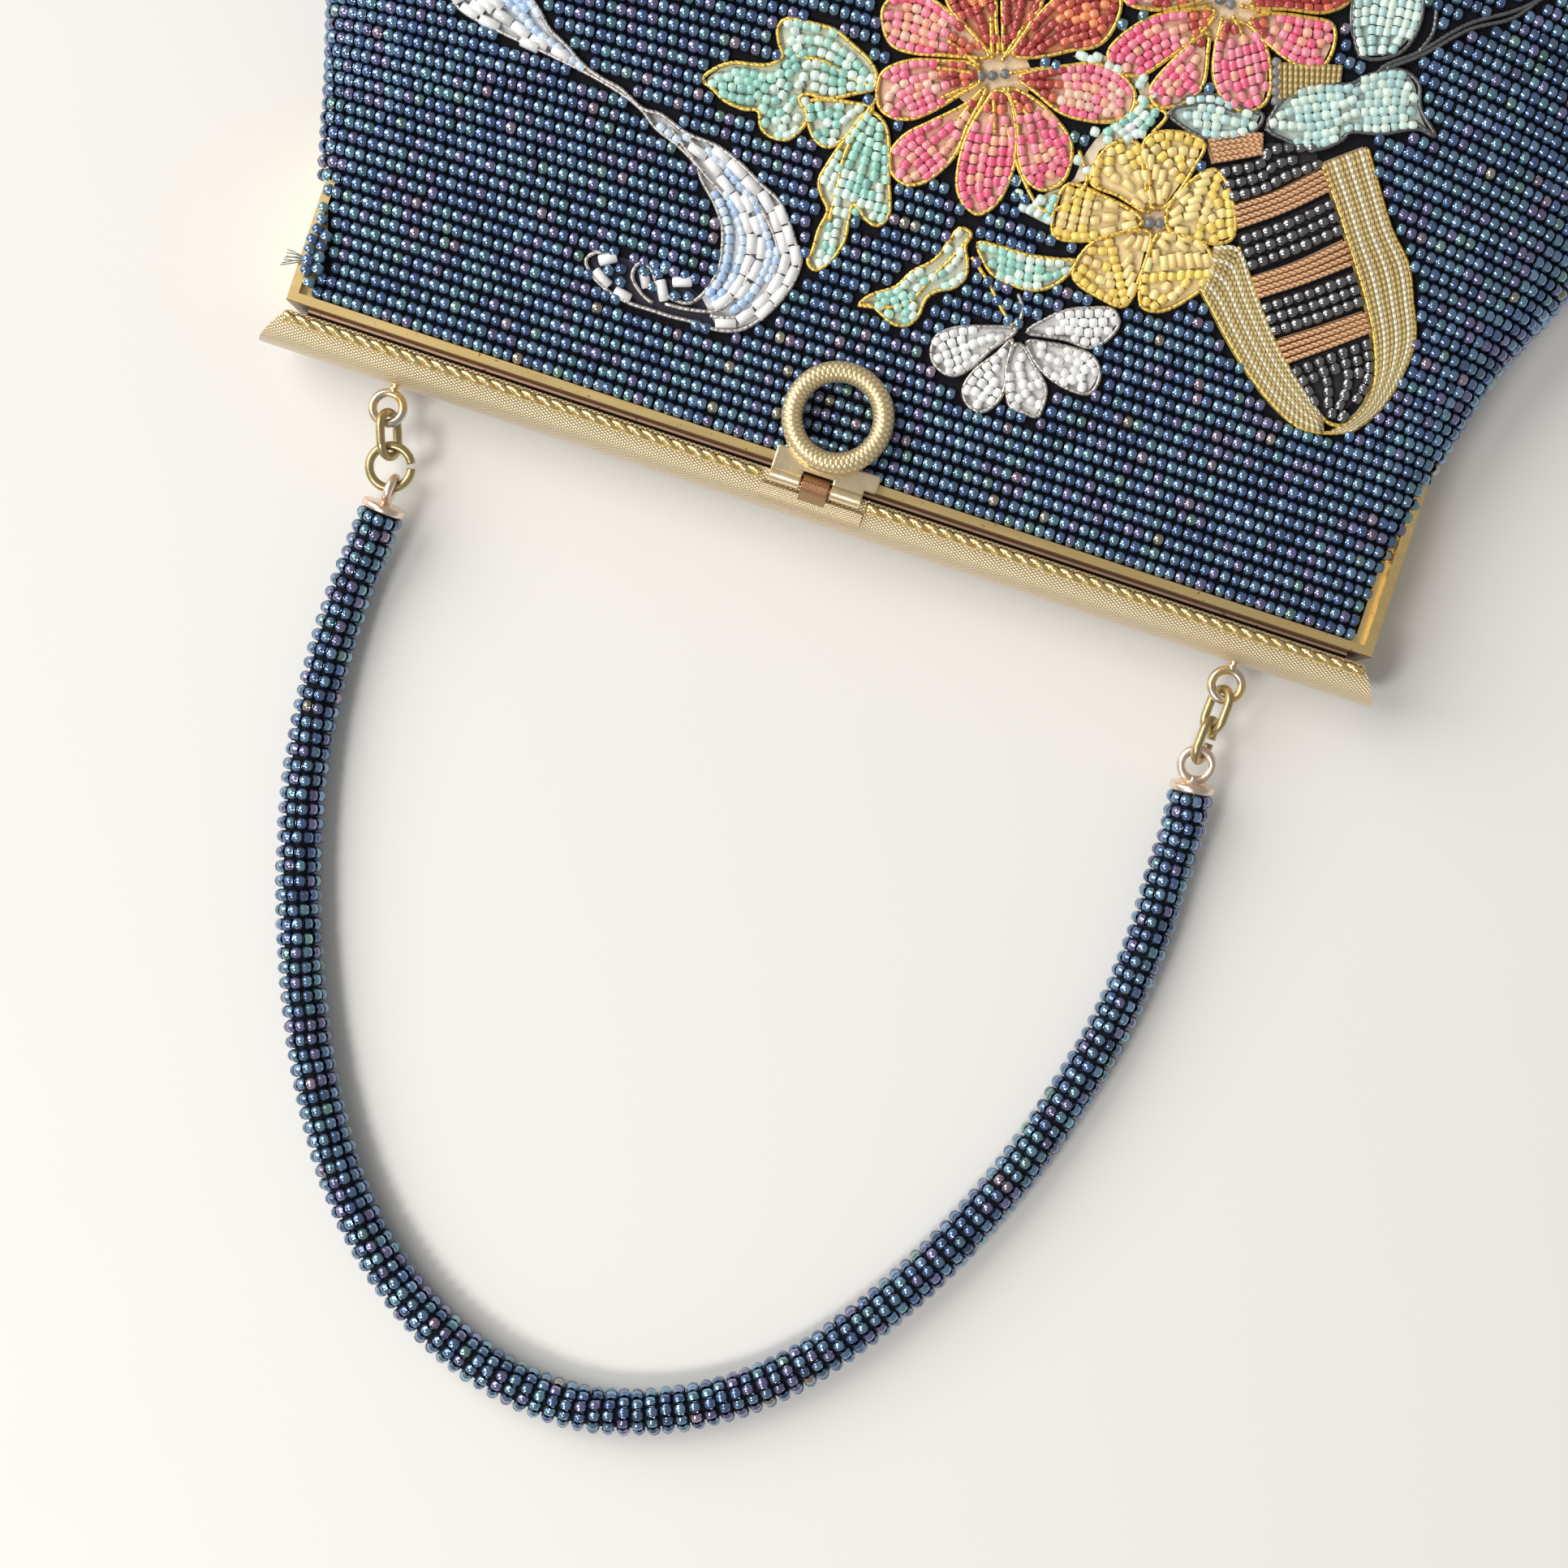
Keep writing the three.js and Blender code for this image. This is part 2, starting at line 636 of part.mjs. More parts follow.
// The bag. Each section is a closed curve whose upper and lower halves are powers of a circle's,
// the lower one pressed flat where it lies on the table.
function sectionRing({ along, flare, swell, lift, sag, square }, inset) {
  const halfWidth = mouthHalfWidth + (bodyHalfWidth - mouthHalfWidth) * flare;
  const depthChange = swell >= 0 ? bodyDepth - mouthDepth : mouthDepth - bottomSeamDepth;
  const depth = mouthDepth + depthChange * swell;
  const bottom = lift * bodyDepth;
  const side = bottom + sideShare * depth;
  const y = mouthY + bodyLength * along;
  const upperPower = 2 / (pillowTopPower + (boxPower - pillowTopPower) * square);
  const lowerPower = 2 / (pillowUnderPower + (boxPower - pillowUnderPower) * square);
  const pressed = lift > 0 ? 1 : underPressing;
  const ring = [];
  for (let i = 0; i < sectionPoints; i += 1) {
    const angle = (2 * Math.PI * i) / sectionPoints;
    const across = Math.cos(angle);
    const up = Math.sin(angle);
    const power = up >= 0 ? upperPower : lowerPower;
    const share = Math.sign(across) * Math.abs(across) ** power;
    const height = Math.abs(up) ** power;
    const x = share * (halfWidth - inset);
    const top = side + (bottom + depth - inset - side) * height;
    const low = side - (side - bottom - inset) * Math.min(1, height * pressed);
    ring.push(new THREE.Vector3(x, y - bottomSag * sag * share * share, up >= 0 ? top : low));
  }
  return ring;
}

// Two sets of rings, one inside the other, as one shell that is open at the first ring.
function shell(outer, inner) {
  const count = sectionPoints;
  const points = [...outer.flat(), ...inner.flat()];
  const innerStart = outer.length * count;
  const middle = (ring) =>
    ring.reduce((sum, point) => sum.add(point), new THREE.Vector3()).divideScalar(count);
  points.push(middle(outer.at(-1)), middle(inner.at(-1)));
  const outerMiddle = points.length - 2;
  const innerMiddle = points.length - 1;
  const triangles = [];
  const skin = (rings, start, outwards) => {
    for (let row = 0; row < rings.length - 1; row += 1) {
      for (let i = 0; i < count; i += 1) {
        const here = start + row * count + i;
        const side = start + row * count + ((i + 1) % count);
        const quad = [here, side + count, side, here, here + count, side + count];
        triangles.push(...(outwards ? quad : quad.reverse()));
      }
    }
  };
  skin(outer, 0, true);
  skin(inner, innerStart, false);
  const outerEnd = (outer.length - 1) * count;
  const innerEnd = innerStart + (inner.length - 1) * count;
  for (let i = 0; i < count; i += 1) {
    const j = (i + 1) % count;
    triangles.push(i, j, innerStart + j, i, innerStart + j, innerStart + i);
    triangles.push(outerMiddle, outerEnd + j, outerEnd + i);
    triangles.push(innerMiddle, innerEnd + i, innerEnd + j);
  }
  return indexedGeometry(points, triangles);
}

function bodyShell() {
  const outer = bodySections.map((section) => sectionRing(section, 0));
  const innerSections = bodySections.slice(0, -closedInnerSections);
  const inner = innerSections.map((section) => sectionRing(section, bodyWall));
  let made = solid(shell(outer, inner));
  for (const side of [-1, 1]) {
    const across = ([x0, x1]) => (side > 0 ? [x0, x1] : [-x1, -x0]);
    const armSlot = block(
      across([armInnerX - ledgeWidth - clearance, frameHalfWidth + clearance]),
      [frameTopGap, armEndY + clearance],
      [frameLift - clearance, frameFront + clearance],
    );
    const rivetSlot = roundAlongX(
      rivetHeadRadius + clearance,
      across([rivetStartX - clearance, rivetEndX + clearance]),
      rivetY,
      midHeight,
    );
    made = made.subtract(solid(armSlot)).subtract(solid(rivetSlot));
  }
  return geometryOf(made);
}

addPiece(bag, "body_shell", bodyShell(), "beads");

// The origin is under the middle of the whole, on the table.
const bounds = new THREE.Box3().setFromObject(bag, true);
const middle = bounds.getCenter(new THREE.Vector3());
bag.position.set(-middle.x, -middle.y, -bounds.min.z);
const group = new THREE.Group();
group.add(bag);

export default group;
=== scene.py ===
import math

import bpy
import numpy as np
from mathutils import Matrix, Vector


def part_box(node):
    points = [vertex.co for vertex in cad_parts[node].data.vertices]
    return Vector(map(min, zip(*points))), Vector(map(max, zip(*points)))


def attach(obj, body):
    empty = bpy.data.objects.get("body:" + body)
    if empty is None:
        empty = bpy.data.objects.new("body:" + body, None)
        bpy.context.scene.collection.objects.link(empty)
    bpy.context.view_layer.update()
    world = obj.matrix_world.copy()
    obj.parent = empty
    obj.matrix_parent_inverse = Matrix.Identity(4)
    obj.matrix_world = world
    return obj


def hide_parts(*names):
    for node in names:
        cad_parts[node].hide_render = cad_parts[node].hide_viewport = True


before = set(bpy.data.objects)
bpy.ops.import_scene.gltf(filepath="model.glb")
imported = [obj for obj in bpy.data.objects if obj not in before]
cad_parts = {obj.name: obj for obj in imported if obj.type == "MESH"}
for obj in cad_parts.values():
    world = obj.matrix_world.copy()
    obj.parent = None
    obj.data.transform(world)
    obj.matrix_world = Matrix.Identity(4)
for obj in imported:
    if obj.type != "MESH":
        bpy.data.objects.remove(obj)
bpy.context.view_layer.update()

# The camera looks straight down on the handle and the frame, turned a little about its own line of
# sight. Lengths in this file are millimetres and are turned into metres where a mesh is made.
MM = 0.001
PHOTO_SIDE = 1932
MM_PER_PIXEL = 0.1208
FOCUS_HEIGHT = 22.0
CAMERA_RANGE = 400.0
CAMERA_X = 8.1
CAMERA_Y = -44.8
CAMERA_TURN = math.radians(18.3)
# The bar's front edge is the zero of Y in this file, and the frame gives its real place.
BAR_EDGE_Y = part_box("roof_bar")[1][1] / MM

camera = bpy.data.objects.new("camera", bpy.data.cameras.new("camera"))
bpy.context.scene.collection.objects.link(camera)
bpy.context.scene.camera = camera
camera.data.sensor_fit = "HORIZONTAL"
camera.data.angle = 2 * math.atan(MM_PER_PIXEL * PHOTO_SIDE / 2 / CAMERA_RANGE)
camera.location = np.array([CAMERA_X, CAMERA_Y + BAR_EDGE_Y, FOCUS_HEIGHT + CAMERA_RANGE]) * MM
camera.rotation_euler = (0, 0, CAMERA_TURN)
bpy.context.scene.view_settings.view_transform = "Standard"


def picture_way(right, up):
    """The direction on the table that is right and up by these shares in the picture."""
    turn, rise = math.cos(CAMERA_TURN), math.sin(CAMERA_TURN)
    return np.array([right * turn - up * rise, right * rise + up * turn, 0.0])


# The light is a bright room: an even pale world, a wide window on the picture's left, and a
# smaller bright pane low on the left that puts the small highlights on beads and metal.
world = bpy.data.worlds.new("room")
bpy.context.scene.world = world
world.use_nodes = True
world.node_tree.nodes["Background"].inputs["Color"].default_value = (1.0, 0.985, 0.965, 1)
world.node_tree.nodes["Background"].inputs["Strength"].default_value = 0.31


def add_pane(name, right, up, away, height, size, power, color):
    """A square area light at a distance from the table's middle, turned to face it."""
    lamp = bpy.data.lights.new(name, "AREA")
    lamp.shape = "SQUARE"
    lamp.size = size
    lamp.energy = power
    lamp.color = color
    pane = bpy.data.objects.new(name, lamp)
    bpy.context.scene.collection.objects.link(pane)
    way = picture_way(right, up)
    place = way / np.linalg.norm(way) * away + np.array([0, 0, height])
    pane.location = place
    flat = math.hypot(place[0], place[1])
    pane.rotation_euler = (0, math.atan2(flat, place[2]), math.atan2(place[1], place[0]))


add_pane("window", -0.86, 0.5, 2.0, 1.65, 2.2, 56.0, (1.0, 0.985, 0.95))
add_pane("low_pane", -0.75, -0.8, 0.8, 1.0, 0.3, 5.8, (1.0, 0.98, 0.96))


# Node maths. A Wire is the output of a node, and an expression on wires adds the nodes for it.
class Wire:
    """A node's output in a finish, with the operators that the finishes use."""

    def __init__(self, finish, socket):
        self.finish = finish
        self.socket = socket

    def maths(self, operation, *values):
        """The Math node of that operation on these values."""
        return self.finish.node(
            "ShaderNodeMath", {"operation": operation}, dict(enumerate(values))
        )

    def __add__(self, other):
        return self.maths("ADD", self, other)

    __radd__ = __add__

    def __sub__(self, other):
        return self.maths("SUBTRACT", self, other)

    def __rsub__(self, other):
        return self.maths("SUBTRACT", other, self)

    def __mul__(self, other):
        return self.maths("MULTIPLY", self, other)

    __rmul__ = __mul__

    def __truediv__(self, other):
        return self.maths("DIVIDE", self, other)

    def __pow__(self, other):
        return self.maths("POWER", self, other)

    def sin(self):
        return self.maths("SINE", self)

    def abs(self):
        return self.maths("ABSOLUTE", self)

    def max(self, other):
        return self.maths("MAXIMUM", self, other)

    def step(self, low, high):
        """A smooth step from 0 at low to 1 at high, for low under high."""
        settings = {"interpolation_type": "SMOOTHSTEP"}
        sockets = {"Value": self, "From Min": low, "From Max": high}
        return self.finish.node("ShaderNodeMapRange", settings, sockets)


def pick_socket(sockets, key):
    """A socket by its number, its identifier or its name."""
    if isinstance(key, int):
        return sockets[key]
    return next((s for s in sockets if s.identifier == key), None) or sockets[key]


class Finish:
    """One material: its nodes are added by node() and its shader's sockets set by shade()."""

    def __init__(self, name):
        self.material = bpy.data.materials.new(name)
        self.material.use_nodes = True
        self.nodes = self.material.node_tree.nodes
        self.links = self.material.node_tree.links
        self.shader = self.nodes["Principled BSDF"]

    def put(self, socket, value):
        """Links a wire to a socket, or sets it to a number, a colour or a vector."""
        if isinstance(value, Wire):
            self.links.new(value.socket, socket)
        elif isinstance(value, (tuple, list)) and socket.type == "RGBA":
            socket.default_value = (*value[:3], 1)
        else:
            socket.default_value = value

    def node(self, kind, settings=None, sockets=None, output=0):
        """Adds a node of that kind with its settings, then its sockets, and gives one output."""
        added = self.nodes.new(kind)
        for name, value in (settings or {}).items():
            setattr(added, name, value)
        for key, value in (sockets or {}).items():
            self.put(pick_socket(added.inputs, key), value)
        return Wire(self, pick_socket(added.outputs, output))

    def mix(self, share, first, second):
        """The colour that goes from the first to the second by a share."""
        sockets = {"Factor_Float": share, "A_Color": first, "B_Color": second}
        return self.node("ShaderNodeMix", {"data_type": "RGBA"}, sockets, "Result_Color")

    def noise(self, vector, scale, detail=2.0):
        """A soft noise from 0 to 1 with that many lumps in a metre."""
        sockets = {"Vector": vector, "Scale": scale, "Detail": detail}
        return self.node("ShaderNodeTexNoise", None, sockets, "Fac")

    def place(self):
        """The place on the object, in metres."""
        return self.node("ShaderNodeTexCoord", None, None, "Object")

    def tint(self):
        """The colour that the mesh gives to each of its points."""
        return self.node("ShaderNodeAttribute", {"attribute_name": "tint"}, None, "Color")

    def uv(self):
        """The two coordinates of the piece's own map, in millimetres."""
        return self.split(self.node("ShaderNodeUVMap", {"uv_map": "along_and_around"}))[:2]

    def split(self, vector):
        """The three parts of a vector or of a colour."""
        return [self.node("ShaderNodeSeparateXYZ", None, {"Vector": vector}, k) for k in range(3)]

    def bump(self, height, distance):
        """A surface raised by a height from 0 to 1 times a distance in metres."""
        sockets = {"Height": height, "Distance": distance, "Strength": 1.0}
        return self.node("ShaderNodeBump", None, sockets, "Normal")

    def shade(self, **values):
        """Sets the shader's sockets: Base_Color stands for Base Color, and so on."""
        for name, value in values.items():
            self.put(self.shader.inputs[name.replace("_", " ")], value)
        return self.material


# The table is a plain pale top with a very faint mottle.
floor_finish = Finish("table_top")
floor_place = floor_finish.place()
floor_tone = floor_finish.noise(floor_place, 3.0)
floor_finish.shade(
    Base_Color=floor_finish.mix(floor_tone, (0.86, 0.85, 0.825), (0.88, 0.865, 0.83)),
    Roughness=floor_finish.noise(floor_place, 40.0) * 0.1 + 0.5,
)


def make_mesh(name, points, faces, finish, body="bag", tint=None, uv=None):
    """A smooth mesh object from points in millimetres and blocks of faces of one size each.
    tint is a colour for each point, and uv a pair of millimetres for each face corner's point."""
    mesh = bpy.data.meshes.new(name)
    points = np.asarray(points, dtype=float).reshape(-1, 3)
    placed = (points + [0, BAR_EDGE_Y, 0]) * MM
    blocks = [np.asarray(block) for block in faces if len(block)]
    corners = np.concatenate([block.reshape(-1) for block in blocks])
    sizes = np.concatenate([np.full(len(block), block.shape[1]) for block in blocks])
    mesh.vertices.add(len(placed))
    mesh.vertices.foreach_set("co", placed.reshape(-1))
    mesh.loops.add(len(corners))
    mesh.loops.foreach_set("vertex_index", corners.astype(np.int32))
    mesh.polygons.add(len(sizes))
    starts = np.concatenate([[0], np.cumsum(sizes)[:-1]])
    mesh.polygons.foreach_set("loop_start", starts.astype(np.int32))
    mesh.polygons.foreach_set("use_smooth", np.ones(len(sizes), dtype=bool))
    if tint is not None:
        colors = mesh.attributes.new("tint", "FLOAT_COLOR", "POINT")
        full = np.concatenate([tint, np.ones((len(tint), 1))], axis=1)
        colors.data.foreach_set("color", full.reshape(-1))
    if uv is not None:
        layer = mesh.uv_layers.new(name="along_and_around")
        layer.uv.foreach_set("vector", np.asarray(uv)[corners].reshape(-1))
    mesh.update(calc_edges=True)
    mesh.validate()
    made = bpy.data.objects.new(name, mesh)
    bpy.context.scene.collection.objects.link(made)
    made.data.materials.append(finish)
    if body:
        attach(made, body)
    return made


def grid_faces(rows, columns, wrap_rows=False, wrap_columns=False, start=0):
    """Quads between neighbouring rows and columns of a grid of points, row by row."""
    row = np.arange(rows if wrap_rows else rows - 1)
    column = np.arange(columns if wrap_columns else columns - 1)
    row, column = [part.reshape(-1) for part in np.meshgrid(row, column, indexing="ij")]
    below, beside = (row + 1) % rows, (column + 1) % columns
    quad = [row * columns + column, row * columns + beside]
    quad += [below * columns + beside, below * columns + column]
    return np.stack(quad, axis=1) + start


def spread(*axes):
    """Points from their coordinates, each an array over the rows, the columns or both."""
    return np.stack(np.broadcast_arrays(*axes), axis=-1)


TABLE_REACH = 1800.0
corner = np.array([[-1, -1, 0], [1, -1, 0], [1, 1, 0], [-1, 1, 0]]) * TABLE_REACH
table = make_mesh("table", corner, [np.array([[0, 1, 2, 3]])], floor_finish.material, None)


# The bag: a pouch of dark cloth whose front and back panels meet in a seam down each side and
# along the bottom. It is glued behind the frame's ledge and bulges over the arms lower down.
MOUTH_Y = 4.4
MOUTH_HALF_WIDTH = 83.3
MOUTH_DEPTH = 16.0
BAG_LENGTH = 146.0
BAG_HALF_WIDTH = 110.0
BAG_DEPTH = 28.0
BOTTOM_SEAM_DEPTH = 3.84
BOTTOM_SAG = 9.0
SIDE_SHARE = 0.42
UNDER_PRESSING = 1.12
CLOTH_INSET = 1.65
CLOTH_THICKNESS = 0.8
# Sections by their share of the length: how far each side flares and the front swells from the
# mouth's size to the full one, the lift and sag, and how square the corners above and below are.
SECTIONS = {
    "along": [-0.012, 0, 0.07, 0.126, 0.18, 0.213, 0.304, 0.42, 0.53, 0.66, 0.78, 0.86, 0.92,
              0.965, 0.99, 1],
    "left": [0.06, 0.067, 0.13, 0.21, 0.285, 0.326, 0.457, 0.62, 0.77, 0.91, 0.99, 0.97, 0.82,
             0.53, 0.16, -0.1],
    "right": [0.06, 0.067, 0.09, 0.12, 0.16, 0.195, 0.31, 0.555, 0.74, 0.9, 0.99, 0.97, 0.82,
              0.53, 0.16, -0.1],
    "swell": [0, 0, 0.03, 0.11, 0.19, 0.25, 0.47, 0.73, 0.91, 1, 0.95, 0.72, 0.32, -0.2, -0.72,
              -1],
    "lift": [0, 0, 0, 0, 0, 0, 0, 0, 0, 0, 0, 0, 0.02, 0.06, 0.13, 0.19],
    "sag": [0, 0, 0.01, 0.03, 0.07, 0.12, 0.3, 0.48, 0.62, 0.76, 0.88, 0.95, 1, 1, 1, 1],
    "above": [16, 16, 15, 13, 11, 9, 5.4, 3.5, 2.85, 2.3, 2.3, 2.3, 2.3, 2.3, 2.3, 2.3],
    "below": [9, 9, 9, 9, 8.5, 8, 6.8, 5.8, 5.3, 5, 5, 5, 5, 5, 5, 5],
}
# Where the panels stop beside the frame: the front's lowest and the back's highest edge.
FRONT_STOP = {
    "along": [0, 0.1, 0.13, 0.225, 0.245],
    "left": [14.9, 14.9, 12.6, 12, 0],
    "right_along": [0, 0.16, 0.19, 0.225, 0.245],
}
BACK_STOP = {"along": [0, 0.19, 0.225, 0.245], "height": [1.5, 1.5, 3.5, 30]}


def smooth_column(name, along):
    """A column of the section table at any shares, by cubic pieces that meet smoothly."""
    knots = np.array(SECTIONS["along"], dtype=float)
    values = np.array(SECTIONS[name], dtype=float)
    slopes = np.gradient(values, knots)
    i = np.clip(np.searchsorted(knots, along, side="right") - 1, 0, len(knots) - 2)
    span = knots[i + 1] - knots[i]
    t = (along - knots[i]) / span
    bend = (2 * t**3 - 3 * t**2 + 1) * values[i] + (3 * t**2 - 2 * t**3) * values[i + 1]
    return bend + (t**3 - 2 * t**2 + t) * span * slopes[i] + (t**3 - t**2) * span * slopes[i + 1]


def section_sizes(along):
    """The depth, the height of the underside and the height of the side seam at a share."""
    swell = smooth_column("swell", along)
    fuller = MOUTH_DEPTH + (BAG_DEPTH - MOUTH_DEPTH) * swell
    flatter = MOUTH_DEPTH + (MOUTH_DEPTH - BOTTOM_SEAM_DEPTH) * swell
    depth = np.where(swell >= 0, fuller, flatter)
    under = BAG_DEPTH * smooth_column("lift", along)
    return depth, under, under + SIDE_SHARE * depth


def half_width(along, side):
    """The half width on the side whose sign is given: the flare between mouth and full width."""
    left = smooth_column("left", along)
    right = smooth_column("right", along)
    flare = np.where(np.asarray(side) < 0, left, right)
    return MOUTH_HALF_WIDTH + (BAG_HALF_WIDTH - MOUTH_HALF_WIDTH) * flare


def front_point(along, share, inset=0.0):
    """A point of the front panel: share runs from -1 at the left seam to 1 at the right one, and
    the height is that of a circle's quarter with its power raised to square the corner."""
    depth, under, seam = section_sizes(along)
    width = half_width(along, share)
    x = share * (width - inset)
    y = MOUTH_Y + BAG_LENGTH * along - BOTTOM_SAG * smooth_column("sag", along) * share**2
    power = smooth_column("above", along)
    height = np.maximum(1 - np.abs(share) ** power, 0) ** (1 / power)
    z = seam + (under + depth - inset - seam) * height
    return spread(x, y, z)


def back_point(along, share, inset=0.0):
    """A point of the back panel, which lies on the table and turns up to the side seams."""
    depth, under, seam = section_sizes(along)
    blend = np.clip((along - 0.19) / 0.06, 0, 1)
    narrow = MOUTH_HALF_WIDTH + 1.0
    width = narrow + (half_width(along, share) - narrow) * blend * blend * (3 - 2 * blend)
    x = share * (width - inset)
    y = MOUTH_Y + BAG_LENGTH * along - BOTTOM_SAG * smooth_column("sag", along) * share**2
    power = smooth_column("below", along)
    height = np.maximum(1 - np.abs(share) ** power, 0) ** (1 / power)
    pressed = np.where(under > 0.01, height, np.minimum(height * UNDER_PRESSING, 1))
    z = seam - (seam - under - inset) * pressed
    return spread(x, y, z)


def seam_shares(count):
    """Shares from seam to seam, closer together towards both ends."""
    return np.sin(np.linspace(-np.pi / 2, np.pi / 2, count))


def front_limits(along):
    """The lowest height of the front panel on the left and on the right."""
    seam = section_sizes(along)[2]
    left = np.interp(along, FRONT_STOP["along"], FRONT_STOP["left"])
    right = np.interp(along, FRONT_STOP["right_along"], FRONT_STOP["left"])
    return np.maximum(left, seam), np.maximum(right, seam)


def front_row(along, count=1201):
    """The shares of one row across the front at which the panel is above its lowest heights."""
    share = seam_shares(count)
    z = front_point(along, share)[:, 2]
    left, right = front_limits(along)
    return share[z >= np.where(share < 0, left, right) - 1e-9]


def back_row(along, count=1201):
    """The shares of one row across the back at which the panel is under its highest height."""
    share = seam_shares(count)
    z = back_point(along, share)[:, 2]
    highest = np.interp(along, BACK_STOP["along"], BACK_STOP["height"])
    return share[z <= highest + 1e-9]


def panel(point, row, alongs, columns, inset):
    """A grid of points over a panel, each row stretched between its own first and last share."""
    ends = np.array([row(along)[[0, -1]] for along in alongs])
    run = seam_shares(columns) * 0.5 + 0.5
    share = ends[:, :1] + (ends[:, 1:] - ends[:, :1]) * run
    return point(alongs[:, None], share, inset)


cloth_finish = Finish("dark_cloth")
cloth_place = cloth_finish.place()
cloth_weave = cloth_finish.node(
    "ShaderNodeTexWave", {"bands_direction": "X"}, {"Vector": cloth_place, "Scale": 700.0}
) * cloth_finish.node(
    "ShaderNodeTexWave", {"bands_direction": "Y"}, {"Vector": cloth_place, "Scale": 700.0}
)
cloth_finish.shade(
    Base_Color=cloth_finish.mix(cloth_weave, (0.002, 0.002, 0.006), (0.006, 0.007, 0.018)),
    Roughness=0.9,
    Normal=cloth_finish.bump(cloth_weave, 0.0002),
)

CLOTH_COLUMNS = 80
cloth_alongs = np.concatenate([np.linspace(-0.01, 0.9, 60), np.linspace(0.91, 1.0, 20)])
front_cloth = panel(front_point, front_row, cloth_alongs, CLOTH_COLUMNS, CLOTH_INSET)
back_cloth = panel(back_point, back_row, cloth_alongs, CLOTH_COLUMNS, CLOTH_INSET)
bottom_line = (front_cloth[-1] + back_cloth[-1]) / 2 + [0, 0.4, 0]
front_cloth = np.concatenate([front_cloth, bottom_line[None]])
back_cloth = np.concatenate([back_cloth, bottom_line[None]])
cloth_rows = len(cloth_alongs) + 1
front_quads = grid_faces(cloth_rows, CLOTH_COLUMNS)
back_quads = grid_faces(cloth_rows, CLOTH_COLUMNS, start=cloth_rows * CLOTH_COLUMNS)[:, ::-1]
bag_cloth = make_mesh(
    "bag_cloth",
    np.concatenate([front_cloth.reshape(-1, 3), back_cloth.reshape(-1, 3)]),
    [front_quads, back_quads],
    cloth_finish.material,
)
wall = bag_cloth.modifiers.new("wall", "SOLIDIFY")
wall.thickness = CLOTH_THICKNESS * MM
wall.offset = -1
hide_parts("body_shell")


# Rows of dark iris seed beads, sewn side by side on the cloth from seam to seam. Each is a short
# barrel of glass strung along its row, and their coating shades from steel blue to violet and teal.
BEAD_PITCH = 1.6
BEAD_LENGTH = 1.36
BEAD_ACROSS = 1.98
ROW_PITCH = 2.2
FIRST_ROW_Y = 3.75
BEAD_INSET = BEAD_ACROSS / 2
BEAD_SHIFT = 0.05
dice = np.random.default_rng(41)

# A bead's profile along its hole as shares of its length and of its radius, and the directions of
# its sides from the cloth up, in degrees: the side that lies on the cloth is one flat face.
ROUND_BEAD = {
    "along": np.array([-0.5, -0.3, 0.3, 0.5]),
    "radius": np.array([0.6, 0.97, 0.97, 0.6]),
    "turn": np.radians([-20, 12, 50, 90, 130, 168, 200]),
}
PLAIN_BEAD = {
    "along": np.array([-0.5, 0.0, 0.5]),
    "radius": np.array([0.62, 1.0, 0.62]),
    "turn": np.radians([-20, 55, 125, 200]),
}
BUGLE = {
    "along": np.array([-0.5, -0.46, 0.46, 0.5]),
    "radius": np.array([0.7, 1.0, 1.0, 0.7]),
    "turn": ROUND_BEAD["turn"],
}


def unit(vectors):
    """The vectors divided by their lengths."""
    return vectors / np.maximum(np.linalg.norm(vectors, axis=-1, keepdims=True), 1e-12)


def line_reach(line):
    """The distance along a line to each of its points: the running sum of its steps."""
    return np.concatenate([[0], np.cumsum(np.linalg.norm(np.diff(line, axis=0), axis=1))])


def along_line(line, at):
    """Points of a line at these distances from its start."""
    reach = line_reach(line)
    return np.stack([np.interp(at, reach, line[:, axis]) for axis in range(line.shape[1])], axis=-1)


def beads(name, form, middles, ways, ups, lengths, widths, tints, finish):
    """One joined mesh of beads: each is the form's profile turned about the bead's way, which is
    its hole's direction, with its crown towards up."""
    count = len(middles)
    ways = unit(ways)
    sides = unit(np.cross(ways, ups))
    crowns = np.cross(sides, ways)
    turn = form["turn"]
    spoke = sides[:, None] * np.cos(turn)[:, None] + crowns[:, None] * np.sin(turn)[:, None]
    radius = form["radius"][None, :, None, None] * widths[:, None, None, None] / 2
    reach = form["along"][None, :, None, None] * lengths[:, None, None, None]
    points = middles[:, None, None] + ways[:, None, None] * reach + spoke[:, None] * radius
    rings, around = len(form["along"]), len(turn)
    skin = grid_faces(rings, around, wrap_columns=True)
    caps = np.stack([np.arange(around), (rings - 1) * around + np.arange(around)[::-1]])
    base = (np.arange(count) * rings * around)[:, None, None]
    blocks = [(skin[None] + base).reshape(-1, 4), (caps[None] + base).reshape(-1, around)]
    colors = np.repeat(tints, rings * around, axis=0)
    return make_mesh(name, points, blocks, finish, tint=colors)


# The iris coatings and how common each is.
IRIS = np.array([
    [0.19, 0.32, 0.50],
    [0.12, 0.20, 0.39],
    [0.23, 0.23, 0.43],
    [0.19, 0.37, 0.48],
    [0.23, 0.40, 0.39],
    [0.38, 0.30, 0.41],
    [0.42, 0.39, 0.32],
])
IRIS_SHARES = [0.40, 0.25, 0.16, 0.14, 0.025, 0.015, 0.01]


def iris_tints(count):
    """A coating for each bead, each a little lighter or darker than its kind."""
    tints = IRIS[dice.choice(len(IRIS), count, p=IRIS_SHARES)]
    return np.clip(tints * dice.normal(1, 0.14, (count, 1)), 0, 1)


